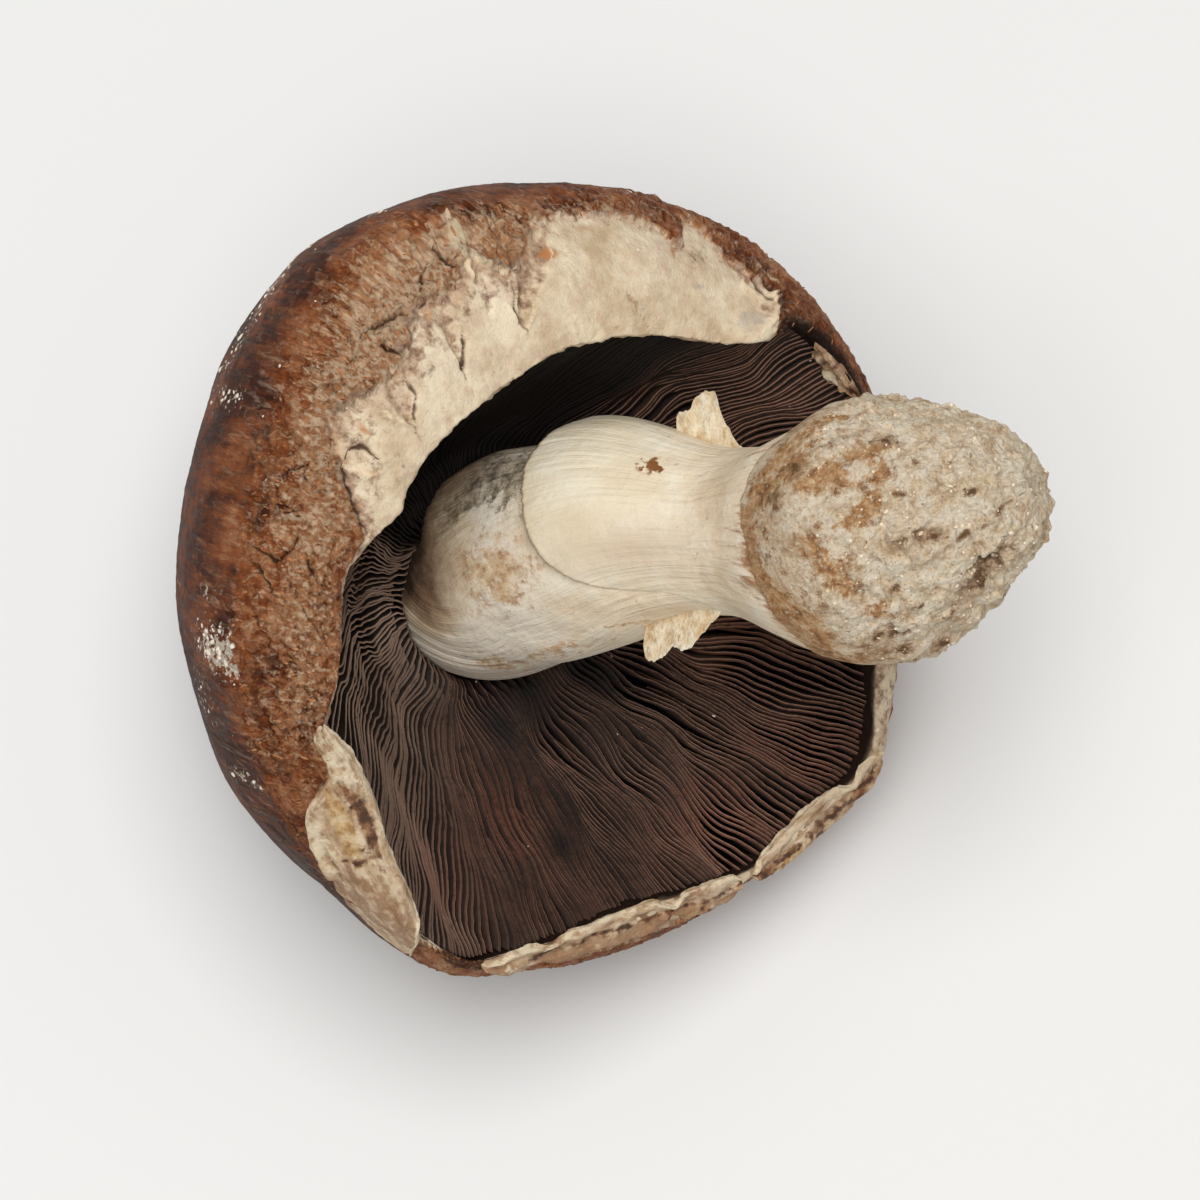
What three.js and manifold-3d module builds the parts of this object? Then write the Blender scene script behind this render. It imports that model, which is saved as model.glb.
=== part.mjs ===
// A picked brown cap mushroom, lying on the shoulder of its cap with the gills and the stem upwards.
//
// Lengths are in millimetres and angles in degrees. +Z is up, and the ground is the plane z = 0.
// Every piece is shaped in the cap's own frame: its origin is where the middle of the stem leaves
// the gills, its +Z runs along the cap's axis from the dome to the gills, and azimuth 0 is the side
// that the cap leans to. One group then leans that frame over and sets it on the ground.

import * as THREE from 'three';
import { ParametricGeometry } from 'three/addons/geometries/ParametricGeometry.js';
import { mergeVertices } from 'three/addons/utils/BufferGeometryUtils.js';
import Module from 'manifold-3d';

// How the mushroom lies.
const CAP_LEAN = 45;
const LEAN_AZIMUTH = -35;
const STEM_FOOT = [-19, 4, 36];

// The cap: a dome with a slightly lopsided brim, and a lip that rolls in over the gills.
const BRIM_RADIUS = 48.6;
const BRIM_SHIFT = { reach: 3.5, azimuth: 84 };
const BRIM_CORNERS = [
  { reach: 6.5, azimuth: 17, spread: 32 },
  { reach: 4, azimuth: 165, spread: 35 },
  { reach: 2, azimuth: 292, spread: 18 },
];
const BRIM_HEIGHT = 12;
const BRIM_TIP = { drop: 4, azimuth: 80 };
const DOME_DEPTH = 33;
const DOME_FULLNESS = 1.06;
const LIP_HEIGHT = 26;
const LIP_RADII = [
  [15, 49.5], [35, 47], [55, 46], [90, 45], [103, 37.5], [120, 36], [150, 35], [193, 34.5],
  [205, 38], [233, 41], [250, 39.5], [265, 42], [283, 44.5], [307, 40.5], [325, 40], [340, 43],
  [357, 46.5],
];
const LIP_BEAD = 0.5;
const LIP_UNDERCUT = 0.6;
const LIP_DROP = 7;

// The flesh under the gills, with a level seat for the stem.
const SEAT_RADIUS = 16.8;
const SEAT_HEIGHT = -10;
const BED_CURVE = 1.25;
const SEAT_STAGE = 0.75;

// The gills: a ring of radial blades between the stem and the lip.
const GILL_BLADES = 90;
const GILL_HOLE = { radius: 14.8, shift: 2.3, azimuth: 15 };
const GILL_DEPTH = { lip: 7.5, stem: 10.5, curve: 1.5 };
const GILL_SLOT_SHARE = 0.3;
const GILL_BED_GAP = 0.8;
const GILL_LIP_INSET = 1.1;

// The stem: its middle line and its radius at each height above the foot.
const STEM_MIDDLE = {
  x: [[-10, 2.2], [-1, 2.2], [9, 0], [22, -1], [36, 1], [54, 3.3], [74, 4.2]],
  y: [[-10, 0.6], [-1, 0.6], [9, 5], [22, 11.5], [36, 17], [54, 24.2], [74, 36]],
};
const STEM_RADII = [
  [-10, 12.2], [-1, 12.4], [7, 13], [15, 13.3], [24, 12.2], [34, 9.3], [40, 10.6], [46, 13.2],
  [50, 15], [54, 15.9], [60, 13.6], [64, 9.2],
];
const STEM_TIP = 67;

// The ring: a sleeve of veil skin round the stem, with two torn flaps at its lower end.
const RING_RADII = [[14, 16.3], [19, 15.8], [26, 13.6], [34, 10.7], [40, 11.6]];
const RING_EDGE = { height: 21.5, fold: 3, slant: 2.5 };
const RING_END = 39;
const RING_WALL = 0.5;
const RING_FLAPS = [
  { turn: -84, height: 32.5, width: 8, length: 8.5, thickness: 1.8, twist: 65, capward: 25, curl: 35 },
  { turn: 92, height: 34, width: 9, length: 7.5, thickness: 2, twist: 60, capward: 30, curl: 30 },
];
const FLAP_ROOT = 0.5;
const FLAP_TAPER = 0.9;

// The crust of growing soil that clings to the foot of the stem.
const CRUST_RADII = [[40, 12], [47, 14.6], [54, 17.1], [60, 15.6], [66, 11.8], [69, 9]];
const CRUST_RIM = { height: 50.5, fold: 4.5, wave: 0.9 };
const CRUST_TIP = 73.5;

// Scraps of the veil that stayed on the lip: azimuths, and the stages of the cap's skin they cover.
const VEIL_SCRAPS = {
  veil_scrap_left: { from: 242, to: 290, low: 1.3, high: 2.02, thickness: 1.6 },
  veil_scrap_lower: { from: 306, to: 338, low: 1.62, high: 2.05, thickness: 1.3 },
  veil_scrap_right: { from: 343, to: 375, low: 1.6, high: 2.1, thickness: 1.3 },
  veil_scrap_upper: { from: 78, to: 88, low: 1.75, high: 2.3, thickness: 1.5 },
};

// Touching pieces keep this gap.
const GAP = 0.4;

const TURN = Math.PI / 180;
const { lerp, clamp, euclideanModulo } = THREE.MathUtils;

// Smooth value at x through [x, value] pairs; with a period, the last pair leads on to the first.
function through(pairs, x, period = 0) {
  const count = pairs.length;
  const pair = (index) => {
    if (!period) {
      return pairs[clamp(index, 0, count - 1)];
    }
    const lap = Math.floor(index / count);
    const [place, value] = pairs[index - lap * count];
    return [place + lap * period, value];
  };
  const place = period ? pairs[0][0] + euclideanModulo(x - pairs[0][0], period) : x;
  let low = 0;
  while (low < count - (period ? 1 : 2) && pair(low + 1)[0] <= place) {
    low += 1;
  }
  const [before, start, end, after] = [pair(low - 1), pair(low), pair(low + 1), pair(low + 2)];
  const span = end[0] - start[0];
  const t = clamp((place - start[0]) / span, 0, 1);
  const slopeOut = ((end[1] - before[1]) / (end[0] - before[0])) * span;
  const slopeIn = ((after[1] - start[1]) / (after[0] - start[0])) * span;
  const ease = 3 * t ** 2 - 2 * t ** 3;
  return start[1] * (1 - ease) + end[1] * ease
    + slopeOut * (t ** 3 - 2 * t ** 2 + t) + slopeIn * (t ** 3 - t ** 2);
}

// One closed body from a surface(u, v, point), with its doubled points joined and facing out.
function closedBody(surface, around, along) {
  const body = new ParametricGeometry(surface, around, along);
  body.deleteAttribute('normal');
  body.deleteAttribute('uv');
  const joined = mergeVertices(body, 1e-3);
  const corners = joined.index.array;
  const [a, b, c] = [new THREE.Vector3(), new THREE.Vector3(), new THREE.Vector3()];
  const faces = [];
  let volume = 0;
  for (let i = 0; i < corners.length; i += 3) {
    const face = Array.from(corners.slice(i, i + 3));
    if (new Set(face).size === 3) {
      [a, b, c].forEach((corner, k) => corner.fromBufferAttribute(joined.attributes.position, face[k]));
      volume += a.dot(b.cross(c));
      faces.push(face);
    }
  }
  joined.setIndex(faces.flatMap((face) => (volume > 0 ? face : face.toReversed())));
  joined.computeVertexNormals();
  return joined;
}

// ---- cap ----

// The brim's radius; its corners show only in part where the dome takes less of them.
function brimRadius(azimuth, cornerShare = 1) {
  let radius = BRIM_RADIUS + BRIM_SHIFT.reach * Math.cos((azimuth - BRIM_SHIFT.azimuth) * TURN);
  for (const corner of BRIM_CORNERS) {
    const away = Math.abs(euclideanModulo(azimuth - corner.azimuth + 180, 360) - 180);
    const swell = 0.5 + 0.5 * Math.cos(Math.PI * Math.min(1, away / corner.spread));
    radius += corner.reach * swell * cornerShare;
  }
  return radius;
}

function brimHeight(azimuth) {
  return BRIM_HEIGHT - BRIM_TIP.drop * Math.cos((azimuth - BRIM_TIP.azimuth) * TURN);
}

const lipRadius = (azimuth) => through(LIP_RADII, azimuth, 360);

function bedHeight(azimuth, radius) {
  const outer = lipRadius(azimuth) + LIP_UNDERCUT;
  const share = clamp((radius - SEAT_RADIUS) / (outer - SEAT_RADIUS), 0, 1);
  return lerp(SEAT_HEIGHT, LIP_HEIGHT - LIP_DROP, share ** BED_CURVE);
}

// Radius and height of the cap's skin. Stage 0 to 1 is the dome, on to 2 the brim, on to 3 the
// inside of the lip, and on to 4 the bed of flesh under the gills and the stem.
function capSection(azimuth, stage) {
  const brim = brimRadius(azimuth);
  const level = brimHeight(azimuth);
  const lip = lipRadius(azimuth);
  if (stage <= 1) {
    const swing = (1 - stage) * 90 * TURN;
    const radius = brimRadius(azimuth, Math.cos(swing) ** 2) * Math.cos(swing) ** DOME_FULLNESS;
    return [radius, lerp(level, -DOME_DEPTH, Math.sin(swing))];
  }
  if (stage <= 2) {
    const swing = (stage - 1) * 90 * TURN;
    return [lerp(lip, brim, Math.cos(swing)), lerp(level, LIP_HEIGHT, Math.sin(swing))];
  }
  if (stage <= 3) {
    const down = stage - 2;
    const radius = lip - LIP_BEAD * Math.sin(Math.PI * down) + LIP_UNDERCUT * down ** 2;
    return [radius, LIP_HEIGHT - LIP_DROP * (1 - Math.cos(down * 90 * TURN))];
  }
  const inward = (stage - 3) / SEAT_STAGE;
  const radius = inward < 1 ? lerp(lip + LIP_UNDERCUT, SEAT_RADIUS, inward)
    : SEAT_RADIUS * ((4 - stage) / (1 - SEAT_STAGE));
  return [radius, bedHeight(azimuth, radius)];
}

function polar(azimuth, radius, height, point) {
  return point.set(radius * Math.cos(azimuth * TURN), radius * Math.sin(azimuth * TURN), height);
}

function makeCap() {
  const stepsInStage = [9, 5, 4, 8];
  const stages = stepsInStage.flatMap((steps, stage) => (
    Array.from({ length: steps }, (_, step) => stage + step / steps)));
  stages.push(4);
  return closedBody((u, v, point) => {
    const stage = stages[Math.round(v * (stages.length - 1))];
    const [radius, height] = capSection(360 * u, stage);
    polar(360 * u, radius, height, point);
  }, 72, stages.length - 1);
}

// ---- gills ----

function makeGills() {
  const underSteps = 4;
  const topSteps = 5;
  const rows = underSteps + topSteps + 2;
  return closedBody((u, v, point) => {
    const azimuth = 360 * u;
    const row = Math.round(v * rows) % rows;
    const onTop = row > underSteps;
    const share = onTop ? (rows - 1 - row) / topSteps : row / underSteps;
    const outer = lipRadius(azimuth) - GILL_LIP_INSET;
    const hole = GILL_HOLE.radius + GILL_HOLE.shift * Math.cos((azimuth - GILL_HOLE.azimuth) * TURN);
    const radius = lerp(hole, outer, share);
    const depth = lerp(GILL_DEPTH.stem, GILL_DEPTH.lip, share ** GILL_DEPTH.curve);
    const inSlot = Math.round(u * GILL_BLADES * 2) % 2 === 1;
    const rise = depth * (inSlot ? 1 - GILL_SLOT_SHARE : 1);
    polar(azimuth, radius, bedHeight(azimuth, radius) + (onTop ? rise : GILL_BED_GAP), point);
  }, GILL_BLADES * 2, rows);
}

// ---- stem ----

// A point beside the stem: turn 0 is the side that faces up when the mushroom lies.
function besideStem(height, turn, radius, point = new THREE.Vector3()) {
  const middle = (h) => new THREE.Vector3(through(STEM_MIDDLE.x, h), through(STEM_MIDDLE.y, h), h);
  const along = middle(height + 0.5).sub(middle(height - 0.5)).normalize();
  const upwards = new THREE.Vector3(-Math.sin(CAP_LEAN * TURN), 0, Math.cos(CAP_LEAN * TURN));
  const front = upwards.addScaledVector(along, -upwards.dot(along)).normalize();
  const side = along.clone().cross(front);
  return point.copy(middle(height))
    .addScaledVector(front, radius * Math.cos(turn * TURN))
    .addScaledVector(side, radius * Math.sin(turn * TURN));
}

// Radius through pairs up to the last one, then rounded off to nothing at the tip.
function roundedOff(pairs, tip, height) {
  const [start, radius] = pairs[pairs.length - 1];
  if (height <= start) {
    return through(pairs, height);
  }
  return radius * Math.sqrt(Math.max(0, 1 - ((height - start) / (tip - start)) ** 2));
}

const stemRadius = (height) => roundedOff(STEM_RADII, STEM_TIP, height);

function makeStem() {
  const bottom = SEAT_HEIGHT + GAP;
  const rows = 22;
  return closedBody((u, v, point) => {
    const row = Math.round(v * rows);
    const height = lerp(bottom, STEM_TIP, Math.max(0, row - 1) / (rows - 1));
    besideStem(height, 360 * u, row === 0 ? 0 : stemRadius(height), point);
  }, 28, rows);
}

// ---- ring ----

function makeRing() {
  const half = 7;
  return closedBody((u, v, point) => {
    const turn = 360 * u;
    const row = Math.round(v * half * 2) % (half * 2);
    const outside = row < half;
    const share = outside ? row / (half - 1) : (half * 2 - 1 - row) / (half - 1);
    const edge = RING_EDGE.height - RING_EDGE.fold * Math.cos(2 * turn * TURN)
      + RING_EDGE.slant * Math.sin(turn * TURN);
    const height = lerp(edge, RING_END, share);
    const inner = stemRadius(height) + GAP;
    const outer = Math.max(through(RING_RADII, height), inner + RING_WALL);
    besideStem(height, turn, outside ? outer : inner, point);
  }, 30, half * 2);
}

// A torn tongue that grows out of the ring. Its breadth is twisted from round the stem to along it.
function makeRingFlap({ turn, height, width, length, thickness, twist, capward, curl }) {
  const rows = 8;
  const bendRadius = length / (curl * TURN);
  const outward = besideStem(height, turn, 1).sub(besideStem(height, turn, 0));
  const footward = besideStem(height + 1, turn, 0).sub(besideStem(height, turn, 0)).normalize();
  const breadth = outward.clone().cross(footward).normalize().applyAxisAngle(outward, twist * TURN);
  const face = breadth.clone().cross(outward);
  const ahead = outward.clone().multiplyScalar(Math.cos(capward * TURN))
    .addScaledVector(footward, -Math.sin(capward * TURN));
  return closedBody((u, v, point) => {
    const row = Math.round(v * rows);
    const along = clamp((row - 1) / (rows - 2), 0, 1);
    const fullness = (row === 0 || row === rows) ? 0 : Math.sqrt(1 - (FLAP_TAPER * along) ** 2);
    const aside = Math.cos(2 * Math.PI * u) * fullness * (width / 2);
    const proud = Math.sin(2 * Math.PI * u) * fullness * (thickness / 2);
    const rootHeight = height + aside * Math.sin(twist * TURN);
    const rootRadius = through(RING_RADII, rootHeight) - FLAP_ROOT;
    const rootTurn = turn - (aside * Math.cos(twist * TURN)) / (rootRadius * TURN);
    const bend = curl * along * TURN;
    besideStem(rootHeight, rootTurn, rootRadius, point)
      .addScaledVector(ahead, bendRadius * Math.sin(bend))
      .addScaledVector(face, bendRadius * (1 - Math.cos(bend)) + proud);
  }, 10, rows);
}

// ---- crust ----

function makeCrust() {
  const half = 8;
  return closedBody((u, v, point) => {
    const turn = 360 * u;
    const row = Math.round(v * half * 2);
    const outside = row <= half;
    const rim = CRUST_RIM.height - CRUST_RIM.fold * Math.cos(2 * turn * TURN)
      + CRUST_RIM.wave * Math.sin(3 * turn * TURN);
    const inward = clamp((row - half) / (half - 1), 0, 1);
    const height = outside ? lerp(CRUST_TIP, rim, row / half) : lerp(rim, STEM_TIP + GAP, inward);
    const skin = roundedOff(CRUST_RADII, CRUST_TIP, height);
    const hollow = row === half * 2 ? 0 : through(STEM_RADII, height) + GAP;
    besideStem(height, turn, outside ? skin : hollow, point);
  }, 30, half * 2);
}

// ---- veil scraps on the lip ----

function makeVeilScrap({ from, to, low, high, thickness }) {
  return closedBody((u, v, point) => {
    const azimuth = lerp(from, to, v);
    const spread = Math.sin(Math.PI * v) ** 0.5;
    const stage = (low + high) / 2 + ((high - low) / 2) * Math.cos(2 * Math.PI * u) * spread;
    const [radius, height] = capSection(azimuth, stage);
    const [nextRadius, nextHeight] = capSection(azimuth, stage + 0.01);
    const step = Math.hypot(nextRadius - radius, nextHeight - height);
    const lift = GAP + (thickness / 2) * (1 + Math.sin(2 * Math.PI * u) * spread);
    const out = ((nextHeight - height) / step) * lift;
    const up = ((radius - nextRadius) / step) * lift;
    polar(azimuth, radius + out, height + up, point);
  }, 10, 12);
}

// ---- the whole mushroom, leant over and set on the ground ----

const wasm = await Module();
wasm.setup();

const mushroom = new THREE.Group();
mushroom.rotation.set(0, CAP_LEAN * TURN, LEAN_AZIMUTH * TURN, 'ZYX');
mushroom.position.set(...STEM_FOOT);
mushroom.updateMatrixWorld();

function toManifold(geometry) {
  const bare = geometry.clone();
  bare.deleteAttribute('normal');
  bare.deleteAttribute('uv');
  const joined = mergeVertices(bare, 1e-4);
  return new wasm.Manifold(new wasm.Mesh({
    numProp: 3,
    vertProperties: new Float32Array(joined.attributes.position.array),
    triVerts: new Uint32Array(joined.index.array),
  }));
}

function fromManifold(solid) {
  const { vertProperties, triVerts } = solid.getMesh();
  const geometry = new THREE.BufferGeometry();
  geometry.setAttribute('position', new THREE.BufferAttribute(vertProperties, 3));
  geometry.setIndex(new THREE.BufferAttribute(triVerts, 1));
  geometry.computeVertexNormals();
  return geometry;
}

// The weight of the mushroom has pressed the shoulder of the cap flat where it meets the ground.
function pressFlat(geometry) {
  const breadth = 6 * BRIM_RADIUS;
  const depth = 2 * BRIM_RADIUS;
  const ground = new THREE.BoxGeometry(breadth, breadth, depth).translate(0, 0, -depth / 2);
  ground.applyMatrix4(mushroom.matrixWorld.clone().invert());
  return fromManifold(toManifold(geometry).subtract(toManifold(ground)));
}

// The ring and its flaps are one torn skin.
function joinFlaps(sleeve) {
  const grow = (solid, flap) => solid.add(toManifold(makeRingFlap(flap)));
  return fromManifold(RING_FLAPS.reduce(grow, toManifold(sleeve)));
}

function finish(color, roughness) {
  return new THREE.MeshStandardMaterial({ color, roughness, metalness: 0 });
}

const skinBrown = finish(0x6b4028, 0.65);
const gillBrown = finish(0x2e1f1b, 0.8);
const stemCream = finish(0xd9cbb4, 0.75);
const veilCream = finish(0xe6dac3, 0.75);
const crustBeige = finish(0xc3b299, 0.95);

function add(name, geometry, material) {
  const mesh = new THREE.Mesh(geometry, material);
  mesh.name = name;
  mushroom.add(mesh);
}

add('cap', pressFlat(makeCap()), skinBrown);
add('gills', makeGills(), gillBrown);
add('stem', makeStem(), stemCream);
add('ring', joinFlaps(makeRing()), veilCream);
add('base_crust', makeCrust(), crustBeige);
for (const [name, scrap] of Object.entries(VEIL_SCRAPS)) {
  add(name, makeVeilScrap(scrap), veilCream);
}

export default mushroom;
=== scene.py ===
import itertools
import math

import bpy
import numpy as np
from mathutils import Euler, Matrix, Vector


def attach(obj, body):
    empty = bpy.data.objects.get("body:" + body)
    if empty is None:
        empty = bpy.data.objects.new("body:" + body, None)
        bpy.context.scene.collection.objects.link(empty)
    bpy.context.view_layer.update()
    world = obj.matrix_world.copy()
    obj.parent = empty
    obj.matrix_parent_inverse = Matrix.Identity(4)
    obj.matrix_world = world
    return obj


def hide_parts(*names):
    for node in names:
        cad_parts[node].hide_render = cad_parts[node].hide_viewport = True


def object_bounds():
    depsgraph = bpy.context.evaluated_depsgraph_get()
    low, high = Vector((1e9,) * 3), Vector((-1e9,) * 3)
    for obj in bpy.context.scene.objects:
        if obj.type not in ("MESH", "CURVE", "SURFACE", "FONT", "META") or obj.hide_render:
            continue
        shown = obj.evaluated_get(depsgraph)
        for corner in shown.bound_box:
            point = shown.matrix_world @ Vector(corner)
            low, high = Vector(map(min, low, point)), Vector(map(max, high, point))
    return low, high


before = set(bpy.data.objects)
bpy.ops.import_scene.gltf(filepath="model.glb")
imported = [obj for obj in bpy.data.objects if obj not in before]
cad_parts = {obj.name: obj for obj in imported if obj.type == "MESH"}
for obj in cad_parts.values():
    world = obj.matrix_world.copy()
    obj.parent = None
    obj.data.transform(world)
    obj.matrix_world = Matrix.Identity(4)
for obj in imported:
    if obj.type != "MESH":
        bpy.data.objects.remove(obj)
cad_low, cad_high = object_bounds()


# ---- cap ----
# A thick dome of flesh under a brown skin. The skin has dried into fibres and scales near the rim
# and is torn back from the rolled-in lip, where the cream flesh shows with its gouges and cracks.
# The flesh goes on under the gills, and the mushroom's weight has pressed the shoulder flat.

# How the mushroom lies: a picked one rests on the shoulder of its cap. Each piece is shaped upright
# in the cap's own frame, in millimetres and degrees, with its origin where the stem leaves the
# gills. It is then leant over and set on the ground, in metres.
cap_lean = 45
lean_azimuth = -35
stem_foot = np.array([-19, 4, 36])
leaning = np.array(Euler((0, math.radians(cap_lean), math.radians(lean_azimuth))).to_matrix())


def lay_down(points):
    return (stem_foot + points @ leaning.T) / 1000


# The sizes of the dome, its brim, the lip rolled in under it, and the bed of the gills, in mm.
brim_radius = 48.6
brim_shift = (3.5, 84)
brim_corners = [(6.5, 17, 32), (4, 165, 35), (2, 292, 18)]
brim_height = 12
brim_tip = (4, 80)
dome_depth = 33
dome_fullness = 1.06
lip_height = 26
lip_radii = [
    (3, 45.8), (11.5, 49), (17, 48.8), (21, 47.3), (27, 45.5), (40, 45), (60, 46), (75, 46),
    (88, 45.5), (94, 44.2), (97, 41), (104, 37.6), (112, 36.3), (123, 35.6), (135, 35.2),
    (147, 34.7), (158, 34), (168, 34.2), (182, 35.2), (188, 35.2), (193, 34.5), (200, 36),
    (204, 37.4), (208, 38.3), (212, 38), (219, 37.5), (226, 38.1), (231, 39.6), (234, 40.6),
    (237, 40), (241, 38.8), (251, 38), (261, 39.8), (270, 41.5), (276, 43.8), (283, 44.6),
    (289, 44.6), (297, 42.4), (311, 39.8), (326, 39), (340, 41.8), (348, 43.6), (355, 44.6),
]
lip_bead, lip_undercut, lip_drop = 0.5, 0.6, 7
seat_radius, seat_height, seat_stage, bed_curve = 16.8, -10, 0.75, 1.25

# How long a degree round the rim, a stage along it, and the whole dome are on the unrolled skin.
degree_mm, stage_mm, dome_mm = 0.72, 34, 62


def mix(start, end, share):
    return start + (end - start) * share


def ease(low, high, value):
    """0 below low, 1 above high, and smooth between."""
    share = np.clip((value - low) / (high - low), 0, 1)
    return share * share * (3 - 2 * share)


def through(pairs, place, period=0):
    """A smooth value at place through (place, value) pairs; with a period the last leads to the first."""
    knots, values = np.array(pairs, float).T
    if period:
        place = knots[0] + np.mod(place - knots[0], period)
        knots = np.concatenate([[knots[-1] - period], knots, knots[:2] + period])
        values = np.concatenate([values[-1:], values, values[:2]])
    else:
        knots = np.concatenate([knots[:1], knots, knots[-1:]])
        values = np.concatenate([values[:1], values, values[-1:]])
    start = np.clip(np.searchsorted(knots, place, side="right") - 1, 1, len(knots) - 3)
    span = knots[start + 1] - knots[start]
    t = np.clip((place - knots[start]) / span, 0, 1)
    slope_out = (values[start + 1] - values[start - 1]) / (knots[start + 1] - knots[start - 1])
    slope_in = (values[start + 2] - values[start]) / (knots[start + 2] - knots[start])
    rise = 3 * t**2 - 2 * t**3
    bend = slope_out * (t**3 - 2 * t**2 + t) + slope_in * (t**3 - t**2)
    return mix(values[start], values[start + 1], rise) + bend * span


def placed(*numbers):
    """Numbers, or rows of numbers, side by side as places."""
    return np.stack(np.broadcast_arrays(*numbers), axis=-1)


def turn_from(place, azimuth):
    """Degrees from a place round the mushroom, -180 to 180."""
    return np.mod(azimuth - place + 180, 360) - 180


def brim(azimuth, corner_share):
    shift, shift_azimuth = brim_shift
    radius = brim_radius + shift * np.cos(np.radians(azimuth - shift_azimuth))
    for reach, place, width in brim_corners:
        away = np.minimum(1, np.abs(turn_from(place, azimuth)) / width)
        radius += reach * (0.5 + 0.5 * np.cos(np.pi * away)) * corner_share
    return radius


def lip(azimuth):
    return through(lip_radii, azimuth, 360)


def bed(azimuth, radius):
    share = np.clip((radius - seat_radius) / (lip(azimuth) + lip_undercut - seat_radius), 0, 1)
    return mix(seat_height, lip_height - lip_drop, share**bed_curve)


def polar(azimuth, radius, height):
    turn = np.radians(azimuth)
    return placed(radius * np.cos(turn), radius * np.sin(turn), height)


def on_cap(azimuth, stage):
    """A place on the cap: stage 0 to 1 is the dome, to 2 the brim, to 3 the lip, to 4 the bed."""
    level = brim_height - brim_tip[0] * np.cos(np.radians(azimuth - brim_tip[1]))
    lip_radius = lip(azimuth)
    out = np.sin(np.radians(90 * np.clip(stage, 0, 1)))
    down = np.cos(np.radians(90 * np.clip(stage, 0, 1)))
    dome = brim(azimuth, out**2) * out**dome_fullness, mix(level, -dome_depth, down)
    turn = np.radians(90 * np.clip(stage - 1, 0, 1))
    rim = mix(lip_radius, brim(azimuth, 1), np.cos(turn)), mix(level, lip_height, np.sin(turn))
    roll = np.clip(stage - 2, 0, 1)
    bead = lip_radius - lip_bead * np.sin(np.pi * roll) + lip_undercut * roll**2
    inside = bead, lip_height - lip_drop * (1 - np.cos(np.radians(90 * roll)))
    inward = np.clip((stage - 3) / seat_stage, 0, 1)
    across = mix(lip_radius + lip_undercut, seat_radius, inward)
    centre = seat_radius * (4 - stage) / (1 - seat_stage)
    across = np.where(stage > 3 + seat_stage, centre, across)
    parts = [stage <= 1, stage <= 2, stage <= 3]
    radius, height = [
        np.select(parts, [dome[i], rim[i], inside[i]], (across, bed(azimuth, across))[i])
        for i in range(2)
    ]
    return polar(azimuth, radius, height)


def skin_place(azimuth, stage):
    """Millimetres round and along the skin near the rim."""
    return placed(degree_mm * azimuth, stage_mm * stage)


def dab(here, place, half_width, half_length):
    """1 at a place on an unrolled skin, and 0 beyond its half width and half length."""
    aside, ahead = np.moveaxis(here - place, -1, 0)
    return np.exp(-((aside / half_width) ** 2) - (ahead / half_length) ** 2)


def patches(here, spots, place=skin_place, join=np.add):
    """Soft patches together: strength, the two numbers of a place, half width and half length."""
    share = np.zeros(here.shape[:-1])
    for strength, first, second, half_width, half_length in spots:
        share = join(share, strength * dab(here, place(first, second), half_width, half_length))
    return share


def trail(here, spots, width, place=skin_place):
    """1 on a line through spots on an unrolled skin, and 0 beyond its width, thin at its ends."""
    share = np.zeros(here.shape[:-1])
    places = [place(*spot) for spot in spots]
    count = len(places) - 1
    for step in range(count):
        start, line = places[step], places[step + 1] - places[step]
        along = np.clip((here - start) @ line / (line @ line), 0, 1)
        away = np.linalg.norm(here - start - along[..., None] * line, axis=-1)
        taper = np.sqrt(np.clip(1 - (2 * (step + along) / count - 1) ** 2, 0.1, 1))
        share = np.maximum(share, near(0, width * taper, away))
    return share


def scoop(here, top, tip, half_width):
    """A hollow from a round top to a pointed tip: its share of depth, and how near its tip."""
    line = tip - top
    length = np.linalg.norm(line)
    along = (here - top) @ line / length**2
    aside = ((here - top)[..., 0] * line[1] - (here - top)[..., 1] * line[0]) / length
    width = half_width * np.sqrt(np.clip(1 - along, 0, 1)) * ease(-0.2, 0.2, along) + 0.02
    return np.clip(1 - (aside / width) ** 2, 0, 1) * ease(-0.2, 0.0, along), along


# Where the brown skin ends, as azimuth and stage.
skin_edge = [
    (0, 1.55), (20, 1.5), (45, 1.52), (58, 1.7), (68, 2.2), (76, 2.4), (94, 2.4), (97.5, 1.66),
    (100, 1.6), (104.5, 1.55), (108, 1.46), (110.5, 1.3), (113, 1.33), (115.5, 1.5), (117, 1.5),
    (119, 1.43), (124, 1.37), (132, 1.34), (140, 1.36), (143.5, 1.46), (148.5, 1.58), (150.5, 1.53),
    (153.5, 1.45), (157, 1.52), (162, 1.52), (167, 1.55), (171.5, 1.6), (175, 1.61), (180.5, 1.56),
    (185, 1.46), (188, 1.48), (191, 1.57), (195, 1.7), (199, 1.86), (203, 1.95), (215, 1.975),
    (232, 1.965), (240, 1.85), (247, 1.55), (254, 1.4), (262, 1.33), (270, 1.35), (280, 1.6),
    (284, 2.1), (290, 2.3), (294, 2.1), (299, 1.8), (305, 1.72), (318, 1.7), (335, 1.7), (350, 1.6),
]
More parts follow.
